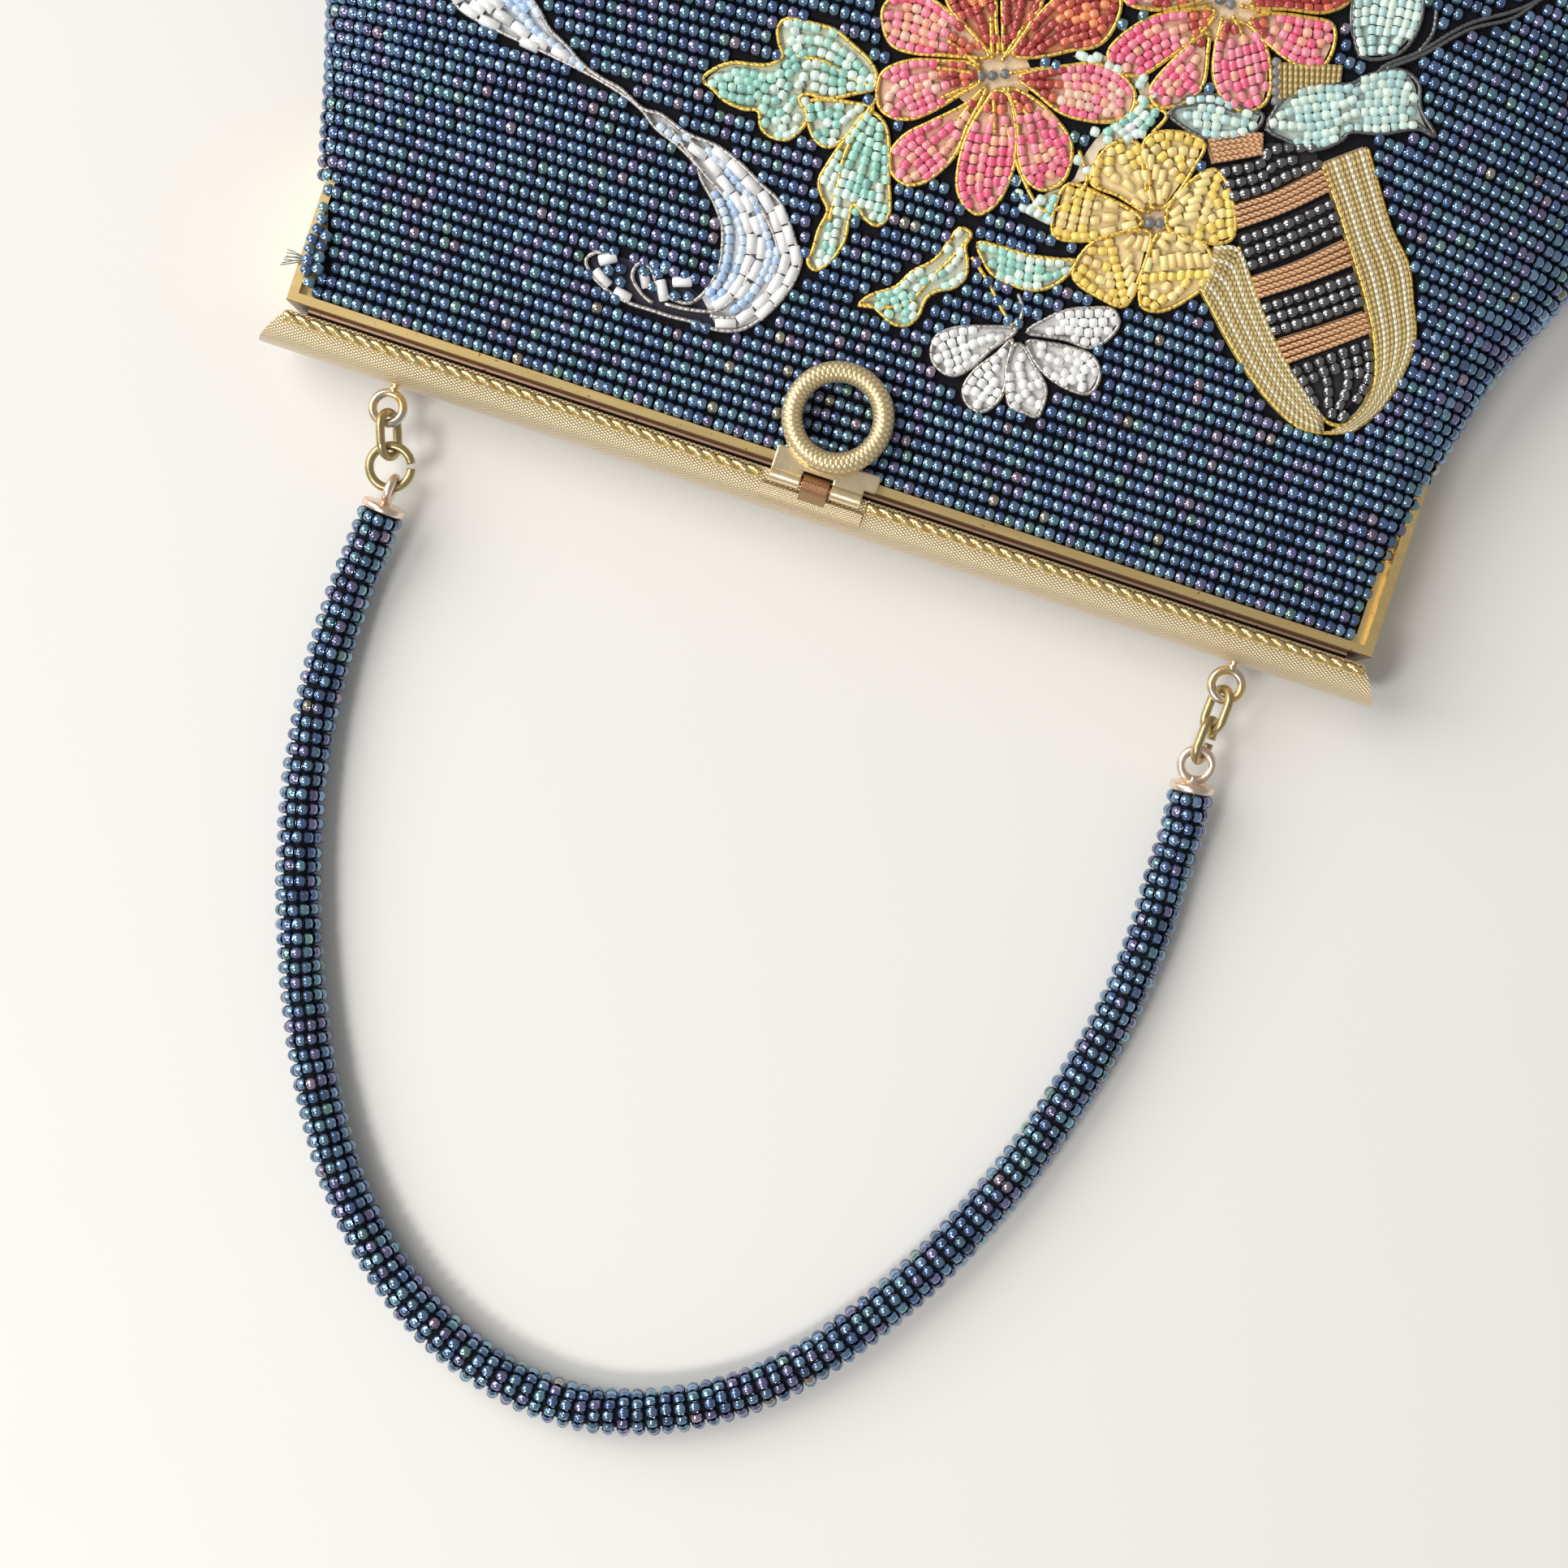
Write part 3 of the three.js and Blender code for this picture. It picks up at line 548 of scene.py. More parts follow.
navy_finish = Finish("iris_glass")
navy_place = navy_finish.place()
navy_finish.shade(
    Base_Color=navy_finish.tint(),
    Metallic=0.82,
    Roughness=navy_finish.noise(navy_place, 900.0) * 0.1 + 0.12,
    Coat_Weight=1.0,
    Coat_Roughness=0.1,
)


def row_beads(point, row, along):
    """The places, ways, ups and flat measures of one row of beads, spaced evenly along the row."""
    share = row(along)
    line = point(along, share, BEAD_INSET)
    reach = line_reach(line)
    count = int((reach[-1] - BEAD_LENGTH) / BEAD_PITCH) + 1
    spare = reach[-1] - (count - 1) * BEAD_PITCH
    at = spare / 2 + BEAD_PITCH * np.arange(count) + dice.normal(0, BEAD_SHIFT, count)
    places, ahead, behind = [along_line(line, at + step) for step in (0, 0.3, -0.3)]
    near = np.interp(at, reach, share)
    after = point(np.full(count, along + 0.002), near, BEAD_INSET)
    before = point(np.full(count, along - 0.002), near, BEAD_INSET)
    ways = unit(ahead - behind)
    ups = unit(np.cross(ways, after - before))
    flats = np.stack([near * half_width(along, near), np.full(count, along * BAG_LENGTH)], axis=1)
    return places, ways, ups, flats


def row_alongs(point, first):
    """The shares of the length at which rows lie a pitch apart on the panel's middle line."""
    fine = np.linspace(-0.012, 1.0, 4001)
    line = point(fine, np.zeros_like(fine), BEAD_INSET)
    reach = line_reach(line)
    start = np.interp(first, line[:, 1], reach)
    count = round((reach[-1] - start) / ROW_PITCH)
    return np.interp(np.linspace(start, reach[-1], count + 1), reach, fine)


def all_rows(point, row, outwards, count=None):
    """The first rows of a panel as four arrays, with ups that point out of the bag."""
    rows = [row_beads(point, row, along) for along in row_alongs(point, FIRST_ROW_Y)[:count]]
    places, ways, ups, flats = [np.concatenate(part) for part in zip(*rows)]
    return places, ways, ups * outwards, flats


front_places, front_ways, front_ups, front_flats = all_rows(front_point, front_row, 1)
back_places, back_ways, back_ups, _ = all_rows(back_point, back_row, -1, -1)


# The beads sewn over the left arm in two slanting columns, where the rows' thread turns back. The
# rows' own beads are left out near them, on the arm and above its middle.
ARM_BEAD_ROOM = 1.25
ARM_INNER_X = -80.0
ARM_LOWER_Z = 12.0
ARM_BEADS = [
    [-85.3, 16.1], [-85.0, 14.4], [-85.1, 12.7], [-85.4, 11.0], [-85.3, 9.4], [-85.1, 7.8],
    [-84.8, 6.2], [-83.8, 4.6], [-83.5, 12.1], [-83.7, 10.4], [-83.5, 8.7], [-83.2, 7.0]
]
ARM_BEAD_Z = 16.0
# The beads inside the curl.
CURL_BEADS = [
    [-41.8, 20.6], [-40.1, 21.3], [-39.6, 19.5], [-36.6, 21.9], [-34.5, 22.4],
    [-34.8, 20.3], [-33.7, 23.8], [-31.0, 20.0], [-29.0, 20.5]
]


def rocaille(name, form, places, ways, ups, keep):
    """Iris beads at these places, each with a slightly different size and lean."""
    count = int(keep.sum())
    lean = dice.normal(0, 0.05, (count, 3))
    lengths = BEAD_LENGTH * dice.normal(1, 0.05, count)
    widths = BEAD_ACROSS * dice.normal(1, 0.03, count)
    tints = iris_tints(count)
    return beads(
        name, form, places[keep], ways[keep] + lean, ups[keep], lengths, widths, tints,
        navy_finish.material,
    )


def joined(parts):
    """Points, blocks of faces and maps of several parts as one, the faces counted on."""
    points, blocks, maps = [], [], []
    counted = 0
    for part in parts:
        points.append(np.asarray(part[0]).reshape(-1, 3))
        blocks += [block + counted for block in part[1] if len(block)]
        maps.append(np.asarray(part[2]).reshape(-1, 2))
        counted += len(points[-1])
    return np.concatenate(points), blocks, np.concatenate(maps)


def tube(path, ups, radius, sides, closed=False):
    """A round wire: a circle carried along the path, its first point towards ups. Gives points,
    faces and a map of millimetres along and around. An open wire's ends are flat and closed."""
    path = np.asarray(path, dtype=float)
    if closed:
        ahead = np.roll(path, -1, axis=0) - np.roll(path, 1, axis=0)
    else:
        ahead = np.gradient(path, axis=0)
    ahead = unit(ahead)
    side = unit(np.cross(ahead, np.broadcast_to(ups, path.shape)))
    up = np.cross(side, ahead)
    turn = np.arange(sides) * 2 * np.pi / sides
    radius = np.broadcast_to(radius, (len(path),))[:, None, None]
    ring = up[:, None] * np.cos(turn)[:, None] + side[:, None] * np.sin(turn)[:, None]
    points = path[:, None] + ring * radius
    faces = [grid_faces(len(path), sides, wrap_rows=closed, wrap_columns=True)]
    if not closed:
        first = np.arange(sides)
        faces.append(np.stack([first[::-1], first + (len(path) - 1) * sides]))
    mapped = spread(line_reach(path)[:, None], turn * radius.mean())
    return points.reshape(-1, 3), faces, mapped.reshape(-1, 2)


def add_part(name, parts, finish, body="bag", tint=None, crisp=None):
    """One mesh of several parts, with the edges over an angle in degrees kept crisp."""
    points, faces, mapped = joined(parts)
    made = make_mesh(name, points, faces, finish.material, body, tint, mapped)
    if crisp:
        edges = made.modifiers.new("crisp_edges", "EDGE_SPLIT")
        edges.split_angle = math.radians(crisp)
    return made


def smooth_line(points, per_span, closed=False):
    """A curve through the points: cubic pieces whose knots lie apart by the square root of the
    distance between the points, which keeps it from overshooting."""
    points = np.asarray(points, dtype=float)
    before, after = 2 * points[:1] - points[1:2], 2 * points[-1:] - points[-2:-1]
    if closed:
        before, after = points[-1:], points[:2]
    points = np.concatenate([before, points, after])
    p0, p1, p2, p3 = points[:-3], points[1:-2], points[2:-1], points[3:]
    steps = np.sqrt(np.linalg.norm(np.diff(points, axis=0), axis=1))[:, None]
    d0, d1, d2 = steps[:-2], steps[1:-1], steps[2:]
    slope1 = ((p1 - p0) / d0 - (p2 - p0) / (d0 + d1) + (p2 - p1) / d1) * d1
    slope2 = ((p2 - p1) / d1 - (p3 - p1) / (d1 + d2) + (p3 - p2) / d2) * d1
    t = (np.arange(per_span) / per_span)[None, :, None]
    p1, p2, slope1, slope2 = [part[:, None] for part in (p1, p2, slope1, slope2)]
    line = (2 * t**3 - 3 * t**2 + 1) * p1 + (3 * t**2 - 2 * t**3) * p2
    line = line + (t**3 - 2 * t**2 + t) * slope1 + (t**3 - t**2) * slope2
    line = line.reshape(-1, points.shape[1])
    return line if closed else np.concatenate([line, points[-2:-1]])


def line_length(line):
    """The sum of a line's steps."""
    return line_reach(line)[-1]


# The embroidery, sewn on padded patches of pale cloth: a stream, leaves, two large flowers and a
# small yellow one, a butterfly and a striped hand drum. Each motif has its kind and its two edges,
# from its root to its tip, in millimetres across the front and down from the mouth.
MOTIFS = {
    "leaf_a": ("mint",
        [[-36.7, 47.1], [-35.3, 49.2], [-33.1, 50.7], [-30.1, 51.3], [-27.7, 52.0], [-26.2, 53.6],
         [-27.4, 55.4], [-28.2, 57.7], [-27.2, 59.0], [-23.3, 59.4], [-19.8, 59.4], [-16.6, 58.1],
         [-13.9, 56.9], [-12.1, 55.3]],
        [[-34.8, 46.3], [-32.7, 45.2], [-29.4, 44.8], [-27.3, 45.2], [-26.2, 43.1], [-24.5, 42.2],
         [-21.8, 42.5], [-20.3, 44.5], [-19.9, 46.4], [-22.1, 48.7], [-21.0, 49.6], [-17.9, 49.8],
         [-14.4, 51.6], [-11.8, 53.2]]),
    "leaf_b": ("mint",
        [[-20.6, 48.4], [-19.5, 45.6], [-17.7, 43.6], [-15.7, 43.2], [-13.7, 45.2], [-12.4, 48.3],
         [-10.9, 50.5]],
        [[-17.9, 49.6], [-14.1, 50.3]]),
    "leaf_c": ("mint",
        [[-11.5, 49.8], [-13.6, 44.9], [-14.9, 41.0], [-15.4, 38.2], [-14.4, 36.4], [-12.8, 34.6],
         [-13.2, 31.5], [-13.1, 28.4], [-13.3, 26.5], [-11.8, 25.7]],
        [[-8.4, 48.7], [-5.7, 42.1], [-3.8, 36.5], [-4.9, 34.7], [-6.5, 34.9], [-9.4, 36.6], [-9.3, 34.0],
         [-9.0, 31.1], [-10.1, 27.6]]),
    "petal_1": ("pink",
        [[3.1, 62.5], [-0.4, 65.1], [-4.8, 66.8], [-9.0, 68.0], [-12.7, 66.8], [-14.1, 64.5]],
        [[0.7, 61.7], [-3.5, 60.7], [-7.9, 59.7], [-11.1, 59.8], [-13.1, 61.7]]),
    "petal_2": ("pink",
        [[1.7, 60.7], [-3.2, 59.9], [-8.3, 58.3], [-11.2, 55.8], [-11.3, 53.3], [-10.1, 50.9]],
        [[3.0, 58.7], [0.7, 56.1], [-2.3, 52.8], [-5.1, 50.7], [-7.8, 50.1]]),
    "petal_3": ("rose",
        [[4.1, 58.4], [2.3, 55.4], [-2.1, 51.2], [-5.3, 48.1], [-6.4, 45.0], [-5.2, 42.5]],
        [[4.2, 57.2], [3.3, 52.4], [2.9, 47.9], [1.2, 44.5], [-0.4, 42.6], [-2.7, 41.6]]),
    "petal_4": ("rose",
        [[5.8, 58.4], [4.7, 55.8], [3.8, 51.9], [3.7, 48.1], [4.7, 43.5], [6.4, 41.6], [9.0, 40.8]],
        [[7.5, 58.3], [10.1, 54.5], [11.6, 50.1], [11.8, 46.5], [11.1, 43.1]]),
    "petal_5": ("rose",
        [[7.4, 59.2], [9.9, 55.7], [12.2, 50.2], [14.4, 47.6], [17.1, 47.1], [19.4, 49.0]],
        [[11.7, 58.8], [15.9, 57.0], [18.7, 54.9], [19.7, 52.1]]),
    "petal_6": ("pink",
        [[8.4, 61.1], [15.1, 65.1], [19.4, 66.6], [23.2, 66.0], [25.5, 64.3], [25.8, 61.6]],
        [[11.4, 59.9], [16.1, 58.3], [20.6, 58.6], [24.1, 59.8]]),
    "petal_7": ("ember",
        [[6.4, 63.9], [7.5, 68.5], [9.3, 72.5], [11.9, 75.8], [15.8, 77.4], [19.0, 76.3]],
        [[10.3, 64.8], [14.4, 67.1], [18.1, 69.2], [19.4, 72.2]]),
    "petal_8": ("ember",
        [[5.3, 63.5], [3.5, 67.8], [2.1, 71.7], [1.6, 75.8], [3.2, 78.1]],
        [[6.4, 65.1], [7.4, 68.8], [8.1, 73.4], [6.2, 77.3]]),
    "petal_9": ("ember",
        [[4.2, 63.1], [2.5, 67.5], [1.1, 71.1], [-1.7, 74.1], [-4.5, 74.2]],
        [[2.4, 63.4], [-1.2, 65.4], [-5.2, 67.9], [-6.4, 71.6]]),
    "bud_1": ("rose",
        [[32.9, 79.4], [25.2, 76.1], [21.3, 72.1], [19.8, 68.5], [21.6, 66.5]],
        [[32.0, 75.8], [28.7, 71.0], [25.3, 67.0]]),
    "bud_2": ("rose",
        [[32.9, 76.1], [29.4, 70.8], [27.5, 65.4], [29.1, 63.8]],
        [[33.8, 73.4], [34.6, 68.4], [32.0, 64.8]]),
    "bud_3": ("rose",
        [[34.9, 78.5], [34.8, 73.8], [36.2, 70.0], [38.6, 67.8], [42.1, 67.5]],
        [[37.2, 79.3], [40.4, 78.4], [43.5, 74.3], [44.4, 69.9]]),
    "bud_4": ("rose",
        [[38.3, 79.7], [42.4, 77.6], [47.1, 76.5], [50.6, 77.6], [51.3, 81.0]],
        [[39.8, 81.4], [46.3, 83.4], [50.1, 83.8]]),
    "bud_5": ("ember",
        [[37.7, 82.0], [43.0, 83.5], [48.8, 85.3], [51.4, 88.4]],
        [[41.0, 87.3], [45.7, 90.6], [49.8, 90.7]]),
    "bud_6": ("ember",
        [[35.5, 83.6], [38.4, 88.0], [39.8, 92.9], [37.5, 95.7]],
        [[33.4, 86.1], [32.8, 90.8], [34.2, 94.9]]),
    "bud_7": ("ember",
        [[32.7, 82.9], [31.5, 87.9], [28.6, 91.8], [25.3, 92.1]],
        [[30.5, 83.3], [26.3, 85.2], [23.9, 89.1]]),
    "bud_8": ("pink",
        [[31.0, 81.0], [25.7, 81.8], [20.8, 81.1], [18.5, 78.3]],
        [[24.9, 76.8], [20.0, 76.2]]),
    "sun_1": ("yellow",
        [[33.3, 49.1], [28.0, 49.9], [23.5, 50.4], [23.9, 55.3]],
        [[32.8, 51.1], [28.9, 57.5], [26.4, 57.7]]),
    "sun_2": ("yellow",
        [[33.8, 49.8], [30.6, 54.0], [29.2, 58.7], [32.2, 61.0], [37.7, 61.1]],
        [[35.4, 50.8], [37.4, 57.3]]),
    "sun_3": ("yellow",
        [[35.7, 49.9], [37.3, 54.7], [40.4, 58.1], [43.3, 56.3], [46.4, 50.0]],
        [[37.0, 47.7], [44.1, 48.1]]),
    "sun_4": ("yellow",
        [[35.7, 46.7], [42.6, 47.5], [45.4, 43.7], [42.9, 39.0], [39.5, 36.0]],
        [[35.3, 45.5], [35.3, 40.2], [36.8, 35.9]]),
    "sun_5": ("yellow",
        [[34.5, 46.3], [35.1, 40.1], [34.4, 35.1], [31.1, 35.0], [25.5, 36.8]],
        [[32.7, 46.2], [26.5, 42.0]]),
    "sun_6": ("yellow",
        [[32.8, 47.3], [24.8, 41.9], [20.6, 41.6]],
        [[32.0, 48.1], [25.6, 49.1], [20.2, 48.9]]),
    "wing_1": ("white",
        [[20.0, 26.8], [15.8, 25.8], [11.1, 24.1], [8.8, 22.1], [8.9, 19.3]],
        [[19.5, 25.6], [17.4, 23.0], [15.3, 19.4], [13.0, 17.3], [10.3, 17.8]]),
    "wing_2": ("white",
        [[19.9, 25.1], [18.3, 22.3], [16.0, 19.1], [15.2, 15.9], [16.5, 14.0]],
        [[20.4, 21.1], [21.1, 17.8], [20.6, 15.4], [18.9, 13.6]]),
    "wing_3": ("white",
        [[20.7, 24.7], [20.3, 22.0], [21.4, 18.2], [22.8, 15.7], [24.8, 15.5], [27.2, 15.5]],
        [[21.7, 24.7], [24.4, 22.4], [27.1, 19.8], [27.5, 17.2]]),
    "wing_4": ("white",
        [[22.1, 25.5], [25.4, 26.3], [28.6, 26.7], [32.3, 26.5], [34.2, 24.3], [33.7, 21.3]],
        [[23.8, 23.5], [27.0, 21.6], [31.3, 20.8]]),
    "wing_5": ("white",
        [[21.6, 26.9], [23.7, 29.5], [26.2, 31.7], [29.6, 33.2], [32.9, 34.0], [34.4, 32.5]],
        [[24.4, 27.2], [27.6, 27.7], [31.5, 27.7], [33.7, 29.9]]),
    "sprig_1": ("mint",
        [[-3.9, 22.8], [-2.6, 24.8], [0.6, 27.1], [2.2, 29.9], [4.9, 32.6], [6.1, 35.8], [7.0, 38.1],
         [9.0, 37.8]],
        [[-2.1, 23.4], [-0.3, 22.7], [2.0, 21.8], [4.1, 22.3], [5.2, 24.1], [5.5, 26.9], [6.7, 28.4],
         [8.9, 29.6], [10.1, 31.5], [9.8, 33.6], [8.6, 36.0]]),
    "sprig_2": ("mint",
        [[10.3, 36.9], [13.7, 37.4], [18.3, 37.6], [23.1, 38.5], [25.2, 39.0]],
        [[12.0, 34.7], [13.9, 33.3], [17.0, 32.8], [20.2, 32.9], [23.0, 34.4], [24.7, 36.8]]),
    "pale_leaf_1": ("teal",
        [[70.1, 74.6], [67.8, 74.7], [66.3, 74.2], [62.2, 71.8], [57.6, 70.2], [57.1, 69.0], [53.6, 66.0],
         [48.7, 65.8], [46.0, 66.2]],
        [[66.5, 77.6], [65.1, 80.8], [62.0, 81.6], [57.8, 79.2], [55.3, 76.7], [50.4, 74.8], [46.8, 71.3],
         [45.8, 67.8]]),
    "pale_leaf_2": ("teal",
        [[31.5, 63.2], [33.1, 66.3], [36.8, 68.1], [41.4, 67.7], [44.6, 67.9]],
        [[32.8, 62.6], [36.9, 61.9], [40.9, 62.9], [44.3, 65.6]]),
    "pale_leaf_3": ("teal",
        [[55.7, 81.1], [53.1, 85.0], [52.0, 89.6], [53.0, 94.5], [55.1, 98.1]],
        [[60.8, 83.7], [62.4, 88.3], [61.6, 93.0], [58.9, 97.0]]),
    "stream_up": ("up",
        [[-80.6, 52.6], [-77.6, 49.9], [-74.9, 47.4], [-68.0, 45.6], [-61.8, 44.6], [-57.0, 43.8],
         [-52.7, 43.0]],
        [[-72.7, 56.8], [-68.0, 53.7], [-63.5, 50.5], [-61.0, 48.0], [-57.7, 46.2], [-54.5, 44.2],
         [-51.0, 43.0]]),
    "stream_neck": ("neck",
        [[-52.7, 43.0], [-48.9, 42.1], [-45.8, 41.1], [-43.7, 40.1], [-41.5, 38.5]],
        [[-51.0, 43.0], [-48.1, 42.4], [-43.9, 40.5], [-41.2, 40.5]]),
    "stream_down": ("down",
        [[-41.5, 38.5], [-37.3, 36.9], [-34.0, 35.1], [-32.2, 33.0], [-29.3, 30.3], [-27.2, 27.4],
         [-26.2, 24.2], [-25.8, 21.2], [-26.4, 18.7], [-27.2, 16.7]],
        [[-41.2, 40.5], [-36.6, 39.0], [-31.4, 38.5], [-27.4, 37.1], [-23.6, 35.2], [-20.3, 33.7],
         [-17.6, 30.9], [-15.5, 28.0], [-14.4, 26.6], [-14.3, 23.5], [-15.1, 20.6], [-17.1, 16.8],
         [-19.8, 13.9], [-23.1, 12.8]]),
    "curl": ("curl",
        [[-27.2, 16.7], [-29.6, 17.7], [-32.6, 17.8], [-36.1, 18.6], [-38.8, 18.7], [-41.6, 18.7]],
        [[-23.1, 12.8], [-26.8, 12.8], [-30.9, 12.5], [-33.2, 12.5], [-37.3, 12.5], [-40.8, 13.2],
         [-44.0, 14.8], [-45.5, 16.6], [-44.2, 18.2]]),
    "drum_left": ("band",
        [[44.4, 41.2], [47.5, 38.5], [51.4, 35.0], [56.8, 30.8], [61.7, 27.9], [65.5, 26.5],
         [69.2, 26.9]],
        [[44.2, 47.6], [47.6, 48.9], [50.5, 45.5], [54.4, 40.9], [58.7, 36.4], [63.4, 32.5],
         [68.0, 29.1]]),
    "drum_right": ("band",
        [[55.3, 64.5], [59.9, 59.3], [63.9, 54.3], [68.4, 48.5], [71.7, 43.1], [73.8, 37.6], [73.9, 33.0],
         [72.2, 29.5], [70.3, 27.3]],
        [[60.8, 69.3], [63.9, 65.2], [68.4, 59.4], [72.5, 55.6], [75.1, 50.7], [77.4, 45.4], [77.3, 39.0],
         [76.0, 33.2], [73.1, 28.5]]),
    "stripe_0": ("tan",
        [[37.9, 61.9], [41.5, 64.1], [45.5, 65.5]],
        [[40.1, 58.9], [43.4, 60.7], [46.5, 62.6]]),
    "stripe_1": ("charcoal",
        [[40.8, 58.6], [46.6, 62.4], [46.6, 64.1], [53.7, 67.0]],
        [[44.5, 54.4], [48.5, 57.1], [52.3, 60.8], [55.8, 64.2]]),
    "stripe_2": ("tan",
        [[44.6, 54.1], [50.5, 58.6], [55.9, 64.2]],
        [[46.8, 51.2], [52.6, 55.9], [58.0, 61.2]]),
    "stripe_3": ("charcoal",
        [[47.2, 50.7], [53.0, 55.3], [58.6, 60.8]],
        [[50.4, 45.8], [56.1, 50.5], [62.2, 56.1]]),
    "stripe_4": ("tan",
        [[50.9, 45.3], [56.9, 50.0], [62.6, 55.6]],
        [[53.0, 42.6], [59.1, 47.3], [65.0, 52.4]]),
    "stripe_5": ("charcoal",
        [[53.5, 42.2], [59.9, 47.1], [65.5, 51.8]],
        [[57.2, 38.1], [63.1, 42.6], [68.7, 47.4]]),
    "stripe_6": ("tan",
        [[57.7, 37.8], [63.6, 42.3], [69.1, 46.8]],
        [[60.4, 34.8], [65.9, 39.5], [71.0, 44.1]]),
    "stripe_7": ("charcoal",
        [[60.8, 34.3], [63.5, 32.6], [68.0, 29.1]],
        [[71.3, 43.6], [73.6, 37.8], [71.3, 29.5]]),
    "patch": ("olive",
        [[44.0, 75.7], [45.9, 70.5]],
        [[53.5, 78.9], [54.0, 76.6]]),
    "heart_1": ("heart",
        [[10.4, 61.5], [10.4, 59.6], [9.6, 57.8], [8.2, 56.3], [6.2, 55.3], [4.1, 55.0], [2.0, 55.4],
         [0.2, 56.3], [-1.0, 57.8]],
        [[10.1, 62.4], [8.9, 63.9], [7.2, 64.9], [5.1, 65.3], [2.9, 64.9], [1.0, 63.9], [-0.5, 62.5],
         [-1.3, 60.7], [-1.3, 58.8]]),
    "heart_2": ("heart",
        [[40.0, 82.8], [40.0, 80.7], [39.3, 78.7], [37.8, 77.0], [35.8, 75.9], [33.5, 75.4], [31.4, 75.8],
         [29.5, 76.8], [28.3, 78.5]],
        [[39.6, 83.8], [38.4, 85.4], [36.5, 86.5], [34.4, 86.8], [32.1, 86.4], [30.1, 85.2], [28.6, 83.6],
         [27.9, 81.6], [27.9, 79.5]]),
    "heart_3": ("heart",
        [[37.5, 48.7], [37.5, 47.3], [36.7, 46.1], [35.4, 45.3], [33.9, 45.1], [32.5, 45.6],
         [31.6, 46.6]],
        [[37.3, 49.2], [36.4, 50.2], [35.0, 50.7], [33.5, 50.6], [32.2, 49.8], [31.5, 48.5],
         [31.4, 47.2]]),
    "filler": ("cream",
        [[15.1, 66.7], [24.8, 66.1], [26.9, 63.9], [23.1, 58.2], [21.5, 53.8], [21.0, 49.7], [17.6, 46.7],
         [15.2, 43.4]],
        [[19.2, 68.3], [26.8, 67.0], [29.8, 62.7], [27.7, 58.1], [23.6, 55.7], [23.2, 50.9], [19.9, 48.4],
         [19.6, 42.8]]),
}
STREAM = [MOTIFS[name] for name in ("stream_up", "stream_neck", "stream_down", "curl")]
DRUM_LEFT, DRUM_RIGHT = MOTIFS["drum_left"], MOTIFS["drum_right"]
# Cords and threads that are laid by themselves, each with its thread and its points.
LINES = [
    ("gold", [[10.1, 34.7], [13.7, 32.0], [16.9, 28.9], [19.7, 26.8]]),
    ("gold", DRUM_LEFT[1] + [[73.0, 28.7]] + DRUM_RIGHT[2][-2::-1]),
    ("gold", DRUM_LEFT[2][1:] + [[70.3, 28.6]] + DRUM_RIGHT[1][-2::-1]),
    ("gold", [[-3.9, 22.8], [-0.1, 23.7], [3.2, 25.5], [5.4, 30.2], [7.8, 34.7], [9.0, 37.8]]),
    ("gold", [[-10.9, 52.1], [-12.1, 47.9], [-12.9, 42.8], [-12.4, 37.5], [-12.1, 32.7]]),
    ("gold", [[-11.0, 53.1], [-15.9, 53.8], [-20.6, 54.7], [-24.9, 54.2]]),
    ("gold", [[8.6, 54.4], [13.3, 48.1], [18.5, 44.3], [22.9, 50.0], [20.0, 54.5]]),
    ("gold", [[25.8, 63.2], [31.0, 63.1], [29.7, 59.6]]),
    ("silver", STREAM[0][1] + STREAM[1][1][1:] + STREAM[2][1][1:] + [
        [-28.7, 15.2], [-31.2, 15.1], [-33.8, 16.1], [-35.6, 18.3], [-37.5, 18.7], [-38.1, 16.5],
        [-35.9, 14.4], [-33.5, 13.4]
    ]),
    ("silver", STREAM[0][2] + [point for motif in STREAM[1:] for point in motif[2][1:]] + [[-41.8, 18.5]]),
    ("silver", [
        [-38.8, 38.8], [-32.8, 34.5], [-25.5, 30.0], [-21.8, 25.0], [-21.5, 20.0], [-23.9, 15.7],
        [-27.9, 14.4], [-32.3, 14.0]
    ]),
    ("silver", [
        [-36.8, 38.5], [-29.7, 35.8], [-21.8, 31.2], [-17.9, 26.2], [-17.8, 20.7], [-20.8, 15.7],
        [-25.3, 14.3]
    ]),
    ("silver", [[20.0, 26.8], [19.9, 29.9], [18.4, 31.9]]),
    ("grey", [[58.6, 79.5], [59.4, 81.2], [63.6, 85.1], [69.3, 92.0], [75.6, 97.1], [81.2, 103.2]]),
    ("grey", [[59.7, 80.9], [64.2, 84.9], [69.8, 91.4], [75.6, 95.9], [78.7, 100.5]]),
    ("grey", [[63.6, 85.1], [64.7, 88.6], [64.1, 92.2]]),
    ("grey", [[66.4, 75.4], [69.0, 74.8], [70.4, 74.6]]),
    ("grey", [[31.0, 63.0], [32.0, 64.5], [33.9, 65.6], [37.3, 66.8], [41.1, 67.0]]),
]
